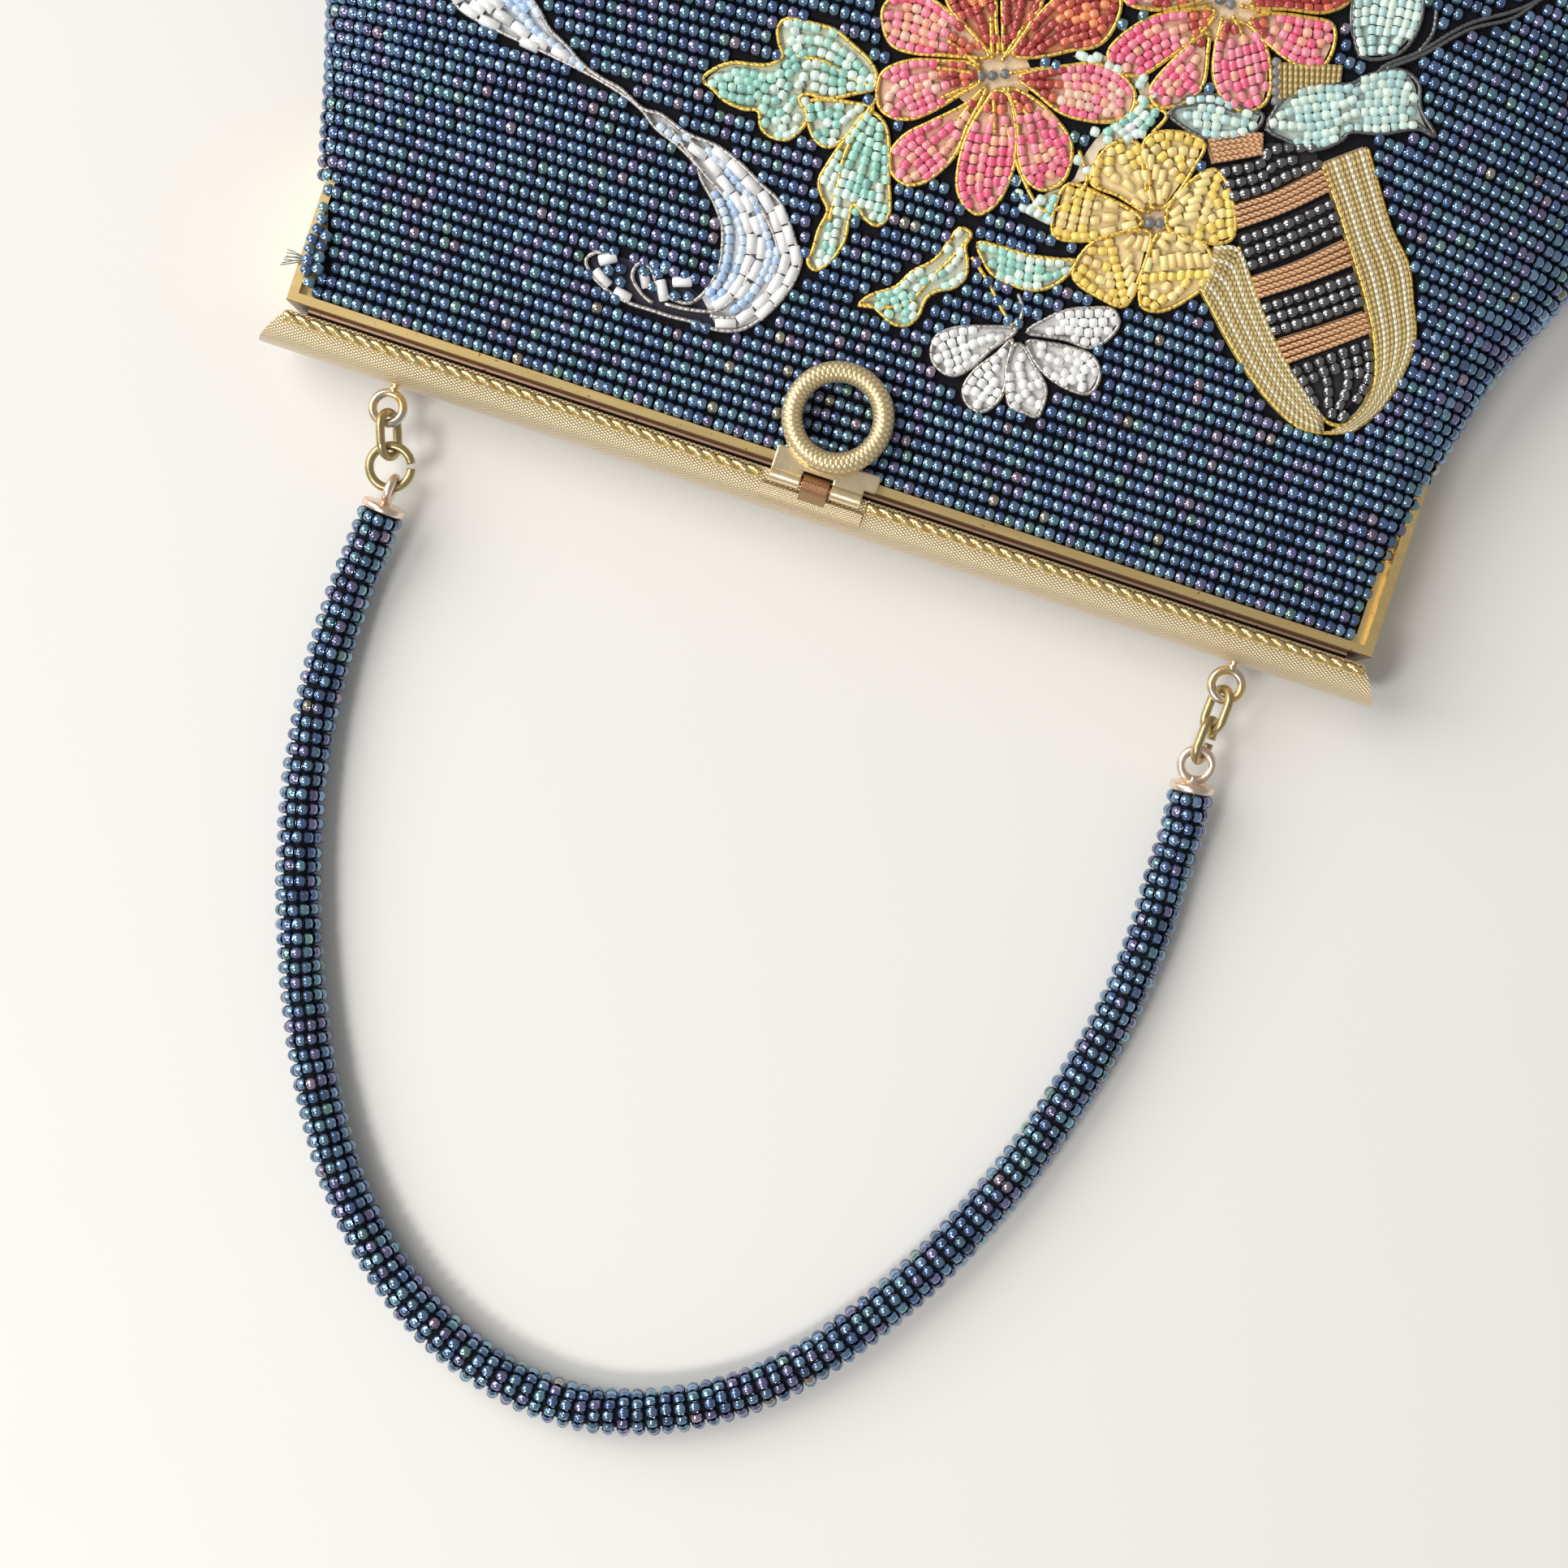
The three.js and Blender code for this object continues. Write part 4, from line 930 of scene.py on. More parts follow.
# The stamens of the two large flowers, straight lines of gold cord.
LINES += [("gold", line) for line in [
    [[2.2, 59.7], [-1.0, 59.2], [-4.2, 58.6]],
    [[2.8, 58.6], [0.3, 56.6], [-2.1, 54.5]],
    [[3.7, 58.0], [2.6, 55.0], [1.5, 52.1]],
    [[5.4, 58.0], [6.5, 55.1], [7.6, 52.2]],
    [[6.6, 59.0], [9.5, 57.5], [12.3, 56.0]],
    [[6.7, 61.2], [9.6, 62.6], [12.5, 64.0]],
    [[5.1, 62.4], [5.9, 65.4], [6.7, 68.4]],
    [[3.7, 62.3], [2.6, 65.2], [1.5, 68.1]],
    [[2.3, 60.9], [-0.7, 61.9], [-3.8, 63.0]],
    [[32.1, 80.0], [29.9, 78.6], [27.8, 77.3]],
    [[33.0, 79.2], [31.9, 76.9], [30.8, 74.7]],
    [[34.2, 79.0], [34.4, 76.6], [34.6, 74.2]],
    [[35.5, 79.7], [37.3, 78.1], [39.2, 76.5]],
    [[36.1, 81.4], [38.6, 81.8], [41.1, 82.2]],
]]
# Single beads by their glass, and the bugle beads inside the curl by their two ends.
SPOTS = {
    "hematite": [
        [2.9, 59.7], [4.5, 60.2], [6.2, 61.0], [33.9, 47.7], [35.4, 48.2], [33.1, 81.3],
        [34.8, 81.2]
    ],
    "mint": [
        [16.0, 67.0], [18.5, 67.5], [25.8, 65.9], [26.9, 63.9], [21.7, 57.4], [24.6, 59.0],
        [28.4, 59.4], [23.9, 56.9], [20.7, 52.8], [22.4, 51.8], [12.9, 47.1], [13.8, 45.5],
        [17.3, 45.7], [15.1, 43.8], [19.4, 43.4]
    ],
    "charcoal": [
        [44.0, 75.7], [44.5, 74.4], [45.0, 73.1], [45.4, 71.8], [45.9, 70.5]
    ],
}
PRONGS = [
    [[-43.5, 17.2], [-41.5, 18.4]],
    [[-43.8, 15.4], [-41.1, 14.2]],
    [[-40.4, 13.7], [-37.0, 13.0]],
    [[-37.4, 18.3], [-34.9, 15.1]],
    [[-33.8, 17.2], [-32.4, 14.5]],
    [[-32.5, 17.4], [-28.7, 18.6]],
]

# The glass of the embroidery's beads.
GLASS = {
    "magenta": (0.96, 0.12, 0.24),
    "pink": (1.0, 0.25, 0.34),
    "salmon": (1.0, 0.42, 0.28),
    "rose": (1.0, 0.60, 0.46),
    "ruby": (0.42, 0.04, 0.035),
    "copper": (0.66, 0.12, 0.06),
    "flame": (0.92, 0.27, 0.10),
    "mint": (0.72, 0.91, 0.80),
    "aqua": (0.30, 0.64, 0.54),
    "sea": (0.46, 0.80, 0.66),
    "teal": (0.46, 0.70, 0.68),
    "yellow": (1.0, 0.68, 0.13),
    "straw": (1.0, 0.73, 0.28),
    "white": (0.95, 0.95, 0.95),
    "pearl": (0.84, 0.82, 0.76),
    "sky": (0.42, 0.60, 0.90),
    "ice": (0.64, 0.77, 0.94),
    "charcoal": (0.19, 0.19, 0.20),
    "hematite": (0.16, 0.16, 0.17),
}
THREAD = {
    "gold": (1.0, 0.68, 0.16),
    "silver": (0.60, 0.57, 0.54),
    "grey": (0.20, 0.21, 0.22),
    "old_gold": (0.60, 0.47, 0.20),
    "straw_gold": (0.95, 0.90, 0.68),
    "tan": (0.88, 0.50, 0.27),
}
# What fills each kind: the ground's colour, the cord round it, and parts. A part is its form, its
# spans from root to tip and from edge to edge, and the glass near the root, at the edges and inside,
# or one glass for all three.
FILLS = {
    "mint": ((0.80, 0.86, 0.66), "gold", [
        ("bead", (0, 1), (0, 1), "aqua sea", "mint mint sea", "mint aqua"),
    ]),
    "teal": ((0.66, 0.78, 0.72), "grey", [
        ("bead", (0, 1), (0, 1), "teal mint", "mint teal", "mint mint teal"),
    ]),
    "pink": ((1.0, 0.62, 0.42), "gold", [
        ("bead", (0, 1), (0, 1), "ruby copper", "magenta pink", "salmon rose pink"),
    ]),
    "rose": ((1.0, 0.62, 0.42), "gold", [
        ("bead", (0, 0.2), (0, 1), "ruby copper", "ruby", "ruby"),
        ("bead", (0.2, 1), (0, 1), "salmon pink", "magenta pink", "salmon pink magenta"),
    ]),
    "ember": ((0.80, 0.28, 0.14), "gold", [
        ("bead", (0, 1), (0, 1), "ruby", "ruby copper", "ruby ruby flame"),
    ]),
    "yellow": ((1.0, 0.78, 0.36), "gold", [
        ("straw", (0.02, 0.5), (0, 1), "straw"),
        ("bead", (0.5, 1), (0, 1), "yellow", "yellow", "yellow straw"),
    ]),
    "white": ((0.92, 0.92, 0.91), "silver", [("bead", (0.1, 1), (0, 1), "white")]),
    "up": ((0.86, 0.89, 0.94), None, [
        ("bugle", (0, 0.93), (0, 0.58), "white"),
        ("bead", (0, 1), (0.58, 1), "sky ice"),
    ]),
    "neck": ((0.50, 0.50, 0.52), None, []),
    "down": ((0.90, 0.91, 0.92), None, [
        ("bead", (0, 0.13), (0, 1), "ice"),
        ("bugle", (0.13, 1), (0.74, 1), "white"),
        ("bead", (0.2, 0.92), (0.56, 0.74), "sky ice"),
        ("bugle", (0.16, 0.97), (0.3, 0.56), "white"),
        ("bead", (0.42, 0.97), (0.03, 0.3), "sky", "sky ice", "sky ice"),
    ]),
    "curl": ((0.008, 0.01, 0.025), None, []),
    "band": ((0.50, 0.40, 0.15), None, [("cord", (0, 1), (0, 1), "old_gold old_gold straw_gold")]),
    "tan": ((0.45, 0.25, 0.12), None, [("cord", (0, 1), (0, 1), "tan")]),
    "olive": ((0.36, 0.27, 0.09), None, [("cord", (0, 1), (0, 1), "old_gold")]),
    "charcoal": ((0.008, 0.009, 0.014), None, [("jet", (0, 1), (0, 1), "charcoal")]),
    "cream": ((0.95, 0.80, 0.58), None, [
        ("bead", (0, 1), (0, 1), "mint", "mint aqua", "mint white sea"),
    ]),
    "heart": ((0.96, 0.70, 0.44), None, []),
}
ROOT_SHARE = 0.34
EDGE_SHARE = 0.24
# Each form's profile, its length and width, its pitch along a lane and the lanes' pitch.
FORMS = {
    "bead": (ROUND_BEAD, 1.36, 1.52, 1.36, 1.32),
    "jet": (ROUND_BEAD, 1.45, 1.8, 1.62, 1.9),
    "straw": (BUGLE, 2.2, 1.3, 2.3, 1.32),
    "bugle": (BUGLE, 3.0, 1.7, 3.15, 1.5),
}
GROUND_INSET = 1.5
GLASS_MIDDLE = 0.95
CORD_MIDDLE = 0.72
CORD_RADIUS = 0.34
TWIST_PITCH = 0.85
CORD_STEP = 0.55
STITCH_PITCH = 2.4
# A bead of a row is left out nearer to a motif than this, and one beside a grey thread too.
EDGE_MARGIN = 0.74
CURL_MARGIN = 0.3
GREY_MARGIN = 0.9
# A motif's own beads keep this far from its outline and, as a share of the lanes' pitch, apart.
GLASS_MARGIN = 0.48
LANE_ROOM = 0.86
MOTIF_REACH = 40.0
GROUND_ROWS, GROUND_COLUMNS = 25, 9
RAISED_KINDS = ("cream", "heart")
# The powers that make the colours of the grounds and of the glass a little paler.
GROUND_POWER = 0.8
GLASS_POWER = 0.88


def on_front(flats, inset):
    """Places on the front panel of points in its flat measure: across, then down from the mouth."""
    along = flats[..., 1] / BAG_LENGTH
    return front_point(along, flats[..., 0] / half_width(along, flats[..., 0]), inset)


def front_up(flats, inset):
    """The direction out of the front panel at points in its flat measure."""
    across = on_front(flats + [0.2, 0], inset) - on_front(flats - [0.2, 0], inset)
    down = on_front(flats + [0, 0.2], inset) - on_front(flats - [0, 0.2], inset)
    return unit(np.cross(across, down))


def inside(points, loop):
    """Which points lie in a loop: an odd number of its sides pass on their right."""
    x, y = points[:, :1], points[:, 1:]
    (x0, y0), (x1, y1) = loop.T, np.roll(loop, -1, axis=0).T
    rise = np.where(y1 == y0, 1e-9, y1 - y0)
    return (((y0 > y) != (y1 > y)) & (x < x0 + (y - y0) * (x1 - x0) / rise)).sum(axis=1) % 2 == 1


def nearest(points, others):
    """The distance from each point to the nearest of the others."""
    return np.linalg.norm(points[:, None] - others[None], axis=2).min(axis=1, initial=99.0)


def sewn_lanes(first, second, spans, breadths, form):
    """Beads in lanes from root to tip: the lanes lie at even shares of the way between two edges,
    and a bead too near one before it is left out. Gives flats, ways and both shares."""
    pitch, lane_pitch = FORMS[form][3:]
    reach = np.linspace(*spans, 41)
    start = along_line(first, line_length(first) * reach)
    stop = along_line(second, line_length(second) * reach)
    start, stop = start + (stop - start) * breadths[0], start + (stop - start) * breadths[1]
    lane_count = max(round(np.linalg.norm(stop - start, axis=1).max() / lane_pitch), 1)
    kept = np.empty((0, 6))
    for k in range(lane_count):
        share = (k + 0.5) / lane_count
        lane = start + (stop - start) * share
        length = line_length(lane)
        number = max(int(length / pitch), 1)
        at = (np.arange(number) + 0.5) * length / number
        spots = along_line(lane, at)
        ways = along_line(lane, at + 0.2) - along_line(lane, at - 0.2)
        root_share = spans[0] + (spans[1] - spans[0]) * at / length
        edge_share = np.full(number, breadths[0] + (breadths[1] - breadths[0]) * share)
        rows = np.column_stack([spots, ways, root_share, edge_share])
        gap = nearest(spots, kept[:, :2])
        kept = np.concatenate([kept, rows[gap > LANE_ROOM * lane_pitch]])
    return kept


def cord_tube(flats, radius, closed, color):
    """A laid cord along a line of flats, with its colour for each point."""
    middle = on_front(flats, CORD_MIDDLE)
    points, faces, mapped = tube(middle, front_up(flats, CORD_MIDDLE), radius, 6, closed)
    return points, faces, mapped, np.repeat([THREAD[color]], len(points), axis=0)


glass_finish = Finish("embroidery_glass")
glass_finish.shade(
    Base_Color=glass_finish.tint(),
    Roughness=glass_finish.noise(glass_finish.place(), 900.0) * 0.1 + 0.12,
    Coat_Weight=0.7,
    Coat_Roughness=0.06,
    IOR=1.52,
)
jet_finish = Finish("jet_glass")
jet_finish.shade(
    Base_Color=jet_finish.tint(),
    Metallic=0.9,
    Roughness=jet_finish.noise(jet_finish.place(), 900.0) * 0.1 + 0.16,
    Coat_Weight=1.0,
    Coat_Roughness=0.08,
)


def thread(name, stitched):
    """A metal or silk thread in its tint: couched with small stitches, or twisted."""
    finish = Finish(name)
    along, around = finish.uv()
    twist = ((along * 7.0 + around * 2.2).sin() + 1) * 0.5
    stitch = (((along * (2 * math.pi / STITCH_PITCH)).sin() - 0.92) * 20).step(0, 1)
    dark = stitch * 0.75 if stitched else twist * 0.55
    finish.shade(
        Base_Color=finish.mix(dark, finish.tint(), (0.22, 0.13, 0.05)),
        Metallic=0.8 if stitched else 0.3,
        Roughness=twist * 0.15 + 0.3,
        Normal=finish.bump(twist, 0.00003 if stitched else 0.0001),
    )
    return finish


cord_finish = thread("couched_thread", True)
twist_finish = thread("twisted_thread", False)
ground_finish = Finish("padded_ground")
ground_weave = ground_finish.noise(ground_finish.place(), 2500.0)
ground_finish.shade(
    Base_Color=ground_finish.mix(ground_weave * 0.14, ground_finish.tint(), (0.35, 0.25, 0.15)),
    Roughness=ground_weave * 0.3 + 0.55,
    Specular_IOR_Level=0.15,
    Normal=ground_finish.bump(ground_weave, 0.0001),
)

tangle = nearest(front_places[:, :2], np.array(ARM_BEADS))
front_keep = (tangle > ARM_BEAD_ROOM) | (front_places[:, 0] > ARM_INNER_X)
front_keep |= front_places[:, 2] < ARM_LOWER_Z
grounds, cords, twists, sewn = [], [], [], []
for kind, first_edge, second_edge in MOTIFS.values():
    ground_color, cord, fills = FILLS[kind]
    first, second = smooth_line(first_edge, 6), smooth_line(second_edge, 6)
    loop = smooth_line(np.concatenate([first_edge, second_edge[::-1]]), 6, closed=True)
    near = np.flatnonzero(np.abs(front_flats - loop.mean(axis=0)).max(axis=1) < MOTIF_REACH)
    margin = CURL_MARGIN if kind == "curl" else EDGE_MARGIN
    hit = inside(front_flats[near], loop) | (nearest(front_flats[near], loop) < margin)
    front_keep[near[hit]] = False
    even = np.linspace(0, 1, GROUND_ROWS)
    start, stop = [along_line(edge, line_length(edge) * even) for edge in (first, second)]
    flats = start[:, None] + (stop - start)[:, None] * np.linspace(0, 1, GROUND_COLUMNS)[:, None]
    sheet = on_front(flats, GROUND_INSET + 0.08 * (kind in RAISED_KINDS)).reshape(-1, 3)
    quads = grid_faces(GROUND_ROWS, GROUND_COLUMNS)
    if np.cross(first[-1] - first[0], second[0] - first[0]) < 0:
        quads = quads[:, ::-1]
    colors = np.repeat([ground_color], len(sheet), axis=0) ** GROUND_POWER
    grounds.append((sheet, [quads], np.zeros((len(sheet), 2)), colors))
    if cord:
        round_edge = along_line(np.concatenate([loop, loop[:1]]), np.arange(0, line_length(loop), CORD_STEP))
        cords.append(cord_tube(round_edge, CORD_RADIUS, True, cord))
    for form, spans, breadths, *glass in fills:
        zones = [names.split() for names in glass] * (3 if len(glass) == 1 else 1)
        if form == "cord":
            width = np.linalg.norm(first[len(first) // 2] - second[len(second) // 2])
            count = max(round(width / TWIST_PITCH), 2)
            for k in range(count):
                lane = start + (stop - start) * (k + 0.5) / count
                twists.append(cord_tube(lane, TWIST_PITCH / 2, False, zones[0][k % len(zones[0])]))
            continue
        rows = sewn_lanes(first, second, spans, breadths, form)
        rows = rows[nearest(rows[:, :2], loop) > GLASS_MARGIN]
        by_edge = np.abs(rows[:, 5] - 0.5) > 0.5 - EDGE_SHARE
        zone = np.where(rows[:, 4] < ROOT_SHARE, 0, np.where(by_edge, 1, 2))
        names = zip([zones[z] for z in zone], dice.integers(0, 6, len(rows)))
        colors = np.array([GLASS[name[choice % len(name)]] for name, choice in names]).reshape(-1, 3)
        sewn.append((form, rows[:, :2], rows[:, 2:4], colors))
for kind, line in LINES:
    laid = smooth_line(line, 8)
    laid = along_line(laid, np.arange(0, line_length(laid), CORD_STEP))
    cords.append(cord_tube(laid, CORD_RADIUS, False, kind))
    if kind == "grey":
        front_keep &= nearest(front_flats, laid[::2]) > GREY_MARGIN
for glass, spots in SPOTS.items():
    across = np.tile([1.0, 0.0], (len(spots), 1))
    sewn.append(("bead", np.array(spots), across, np.tile(GLASS[glass], (len(spots), 1))))
prongs = np.array(PRONGS)
white = np.tile(GLASS["white"], (len(prongs), 1))
sewn.append(("bugle", prongs.mean(axis=1), prongs[:, 1] - prongs[:, 0], white))


def add_laid(name, parts, finish):
    """One mesh of grounds or threads, each with its points' colours as its fourth part."""
    return add_part(name, parts, finish, tint=np.concatenate([part[3] for part in parts]))


# The loose tail of grey thread at the left arm, a tuft of seven hairs.
TAIL_START = np.array([-85.0, 7.9, 15.6])
TAIL_TIP = np.array([-88.7, 0.0, 15.4])
TAIL_COLOR = (0.28, 0.34, 0.33)
HAIR_RADIUS = 0.09
for tip_y in np.linspace(5.8, 8.4, 7):
    tip = TAIL_TIP + [0.1 * dice.normal(), tip_y, 0.5 * dice.normal()]
    middle = (TAIL_START + tip) / 2 + dice.normal(0, 0.15, 3)
    hair = tube(smooth_line(np.stack([TAIL_START, middle, tip]), 4), [0, 0, 1], HAIR_RADIUS, 5)
    twists.append((*hair, np.repeat([TAIL_COLOR], len(hair[0]), axis=0)))

add_laid("embroidery_ground", grounds, ground_finish)
add_laid("embroidery_cords", cords, cord_finish)
add_laid("embroidery_twists", twists, twist_finish)
for form_name, (form, length, across, *_) in FORMS.items():
    flats, ways, colors = [
        np.concatenate([part[i] for part in sewn if part[0] == form_name]) for i in (1, 2, 3)
    ]
    ahead = on_front(flats + unit(ways) * 0.2, GLASS_MIDDLE) - on_front(flats, GLASS_MIDDLE)
    count = len(flats)
    beads(
        f"embroidery_{form_name}s", form, on_front(flats, GLASS_MIDDLE),
        unit(ahead) + dice.normal(0, 0.05, (count, 3)), front_up(flats, GLASS_MIDDLE),
        length * dice.normal(1, 0.05, count), across * dice.normal(1, 0.04, count),
        np.clip(colors**GLASS_POWER * dice.normal(1, 0.08, (count, 1)), 0, 1),
        (jet_finish if form_name == "jet" else glass_finish).material,
    )

for part in range(3):
    third = np.arange(len(front_places)) * 3 // len(front_places) == part
    rocaille(
        f"front_beads_{part + 1}", ROUND_BEAD, front_places, front_ways, front_ups,
        front_keep & third,
    )
arm_places = np.array([[x, y, ARM_BEAD_Z] for x, y in ARM_BEADS])
curl_flats = np.array(CURL_BEADS) - [0, MOUTH_Y]
loose_places = np.concatenate([arm_places, on_front(curl_flats, GLASS_MIDDLE)])
loose_ups = np.broadcast_to([-0.1, 0.0, 1.0], loose_places.shape)
loose_ways = np.broadcast_to([0.3, 1.0, 0.05], loose_places.shape)
every = np.ones(len(loose_places), dtype=bool)
rocaille("arm_and_curl_beads", ROUND_BEAD, loose_places, loose_ways, loose_ups, every)
for part in range(2):
    half = np.arange(len(back_places)) * 2 // len(back_places) == part
    rocaille(f"back_beads_{part + 1}", PLAIN_BEAD, back_places, back_ways, back_ups, half)


# The gilt frame: two drawn brass halves with plain polished faces, a soldered ledge inside, and
# rivets through the plates at the arms' ends. Handling has left fine scratches and dark specks.
FRAME_MID_Z = 8.2
FRAME_FRONT_Z = 15.2

gilt = Finish("gilt_frame")
gilt_place = gilt.place()
gilt_streaks = gilt.noise(
    gilt.node("ShaderNodeMapping", None, {"Vector": gilt_place, "Scale": (60.0, 900.0, 900.0)}), 1.0
)
gilt_specks = gilt.noise(gilt_place, 1400.0, 3.0).step(0.66, 0.72)
gilt_cloud = gilt.noise(gilt_place, 90.0)
gilt_gold = gilt.mix(gilt_cloud, (0.98, 0.76, 0.36), (0.88, 0.62, 0.26))
gilt_x, gilt_y, gilt_z = gilt.split(gilt_place)
# Bands across the frame: painted shadow, near black, in the gap beside the bar, then a rosy lip and a dark
# line.
gilt_gap_shadow, gilt_lip, gilt_line = [
    1 - gilt_y.step((BAR_EDGE_Y + low) * MM, (BAR_EDGE_Y + high) * MM)
    for low, high in ((0.62, 0.75), (1.0, 1.1), (1.3, 1.4))
]
gilt_color = gilt.mix(gilt_line, gilt_gold, (0.34, 0.20, 0.09))
gilt_color = gilt.mix(gilt_lip, gilt_color, (0.98, 0.72, 0.56))
gilt_wrap_start = gilt_x.step(-0.01, 0.01) * 8.5 * MM
gilt_wrapped = (gilt_y - gilt_wrap_start).step((BAR_EDGE_Y + 20.5) * MM, (BAR_EDGE_Y + 21.5) * MM)
gilt_wrapped = gilt_wrapped * gilt_z.step(14.8 * MM, 15.0 * MM)
gilt_skin = gilt.mix(gilt_specks * 0.8, gilt_color, (0.10, 0.05, 0.02))
# The gap's painted shadow and the arm's front face where the cloth wraps it are both painted near black.
gilt.shade(
    Base_Color=gilt.mix(gilt_gap_shadow.max(gilt_wrapped), gilt_skin, (0.03, 0.016, 0.008)),
    Metallic=1.0,
    Roughness=gilt_streaks * 0.16 + gilt_specks * 0.3 + 0.26,
    Normal=gilt.bump(gilt_streaks, 0.00003),
)
for node in ("frame_front", "frame_back"):
    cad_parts[node].material_slots[0].material = gilt.material



def clouded_metal(name, scale, detail, light, dark, rough, grain=None):
    """A bare metal that goes from light to dark by a noise cloud, with its least roughness and what
    the cloud adds. grain is the scale and the height of a finer noise in its surface."""
    metal = Finish(name)
    cloud = metal.noise(metal.place(), scale, detail)
    metal.shade(
        Base_Color=metal.mix(cloud, light, dark), Metallic=1.0, Roughness=cloud * rough[1] + rough[0]
    )
    if grain:
        metal.shade(Normal=metal.bump(metal.noise(metal.place(), grain[0]), grain[1]))
    return metal, cloud


rivet_metal, _ = clouded_metal("rivet_brass", 500, 2, (0.62, 0.44, 0.22), (0.40, 0.27, 0.14), (0.3, 0.2))
for node in ("hinge_rivet_left", "hinge_rivet_right"):
    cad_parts[node].material_slots[0].material = rivet_metal.material


def arc(middle, radius, start, stop, count):
    """Points of a circle in the XY plane about a middle, from one angle to another in degrees."""
    angle = np.radians(np.linspace(start, stop, count))
    flat = np.stack([np.cos(angle), np.sin(angle), np.zeros(count)], axis=1)
    return np.asarray(middle, dtype=float) + flat * radius


# The roof bar: a half-tube of embossed brass over the frame's top, its ends cut obliquely. Its fine
# diamond mesh is yellow beside the trim and paler, of a rose tone, towards the ridge. Its crevices
# carry painted shade, and its inside is painted near black as painted shade.
BAR_RISE = 5.3
BAR_HALF_DEPTH = 6.0
BAR_WALL = 0.8
BAR_EDGE_HALF = 86.0
BAR_RIDGE_HALF = 90.0
MESH_PITCH = 0.82
BAR_SKIN_REACH = 17.8



def diamond_mesh(finish, slant, waves):
    """The product of two families of slanting ridges, and the coordinate around the section."""
    along, around = finish.uv()
    first, second = [((along + around * way) * waves).sin().abs() for way in (slant, -slant)]
    return first * second, around


bar_gilt = Finish("embossed_gilt")
bar_diamonds, bar_around = diamond_mesh(bar_gilt, 1.45, math.pi / MESH_PITCH)
bar_relief = bar_diamonds**0.6
# Painted shade: the crevices of the mesh are darkened towards brown.
bar_crevice_shade = 1 - bar_relief.step(0.2, 0.86)
# Painted shade: the bar's inside, beyond its outer skin, is painted near black.
bar_inside_shade = bar_around.step(BAR_SKIN_REACH + 0.1, BAR_SKIN_REACH + 0.3)
bar_cloud = bar_gilt.noise(bar_gilt.place(), 60.0, 4.0)
# The mesh turns paler and rose-toned from the trim towards the ridge.
bar_pale_to_ridge = ((bar_around - 6.5) / 9.0 + bar_cloud * 0.5 - 0.25).step(-0.5, 0.8)
bar_gold = bar_gilt.mix(bar_pale_to_ridge, (1.0, 0.90, 0.58), (1.0, 0.95, 0.90))
bar_skin_color = bar_gilt.mix(bar_crevice_shade * 0.8, bar_gold, (0.50, 0.29, 0.15))
bar_gilt.shade(
    Base_Color=bar_gilt.mix(bar_inside_shade, bar_skin_color, (0.02, 0.01, 0.004)),
    Metallic=0.66,
    Roughness=bar_crevice_shade * 0.1 + 0.3,
    Normal=bar_gilt.bump(bar_relief, 0.0001),
)


def bar_ring(degrees, offset):
    """Y and Z of the bar's section at angles from its front edge, offset from its skin."""
    angle = np.radians(degrees)
    z = FRAME_MID_Z + (BAR_HALF_DEPTH + offset) * np.cos(angle)
    return np.stack([-(BAR_RISE + offset) * np.sin(angle), z])


bar_turn = np.linspace(0, 180, 49)
bar_loop = np.concatenate([bar_ring(bar_turn, 0), bar_ring(bar_turn[::-1], -BAR_WALL)], axis=1)
oblique = (BAR_RIDGE_HALF - BAR_EDGE_HALF) * np.clip(-bar_loop[0], 0, None) / BAR_RISE
bar_x = np.linspace(-1, 1, 121)[:, None] * (BAR_EDGE_HALF + oblique)
loop_count = bar_loop.shape[1]
pairs = np.arange(len(bar_turn) - 1)
bar_end = np.stack([pairs, pairs + 1, loop_count - 2 - pairs, loop_count - 1 - pairs], axis=1)
far_end = bar_end[:, ::-1] + (len(bar_x) - 1) * loop_count
bar_faces = [grid_faces(len(bar_x), loop_count, wrap_columns=True), bar_end, far_end]
bar_part = (spread(bar_x, *bar_loop), bar_faces, spread(bar_x, line_reach(bar_loop.T)))
roof_bar = add_part("roof_bar_skin", [bar_part], bar_gilt, crisp=40)
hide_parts("roof_bar")


# The handle's ears: two rings of round wire soldered to the bar's ridge, with the gilding worn
# down to silvery brass where the links rub.
EAR_X = 68.0
EAR_DIAMETER = 6.1
LINK_WIRE = 1.4
EAR_NECK = 0.65
EAR_Y = -BAR_RISE - EAR_NECK - EAR_DIAMETER / 2
WIRE_SIDES = 14

ear_metal = Finish("worn_ear_gilt")
ear_place = ear_metal.place()
ear_wear = ear_metal.noise(ear_place, 300.0, 3.0).step(0.4, 0.62)
ear_metal.shade(
    Base_Color=ear_metal.mix(ear_wear, (0.86, 0.62, 0.28), (0.66, 0.60, 0.54)),
    Metallic=1.0,
    Roughness=ear_metal.noise(ear_place, 900.0) * 0.2 + 0.18,
    Normal=ear_metal.bump(ear_metal.noise(ear_place, 500.0), 0.00004),
)



def wire_ring(middle, diameter):
    """A closed ring of the links' wire in the XY plane."""
    ring = arc(middle, (diameter - LINK_WIRE) / 2, 0, 360, 41)[:-1]
    return tube(ring, [0, 0, 1], LINK_WIRE / 2, WIRE_SIDES, closed=True)


ear_parts = []
for side in (-1, 1):
    neck_y = EAR_Y + (EAR_DIAMETER - LINK_WIRE) / 2 + np.array([0.0, 0.35, 0.7, 1.0]) * (EAR_NECK + 1.1)
    neck = spread(side * EAR_X, neck_y, FRAME_MID_Z)
    ear_parts.append(wire_ring([side * EAR_X, EAR_Y, FRAME_MID_Z], EAR_DIAMETER))
    ear_parts.append(tube(neck, [0, 0, 1], np.array([0.75, 0.72, 0.85, 1.25]), WIRE_SIDES))
add_part("handle_ears", ear_parts, ear_metal)


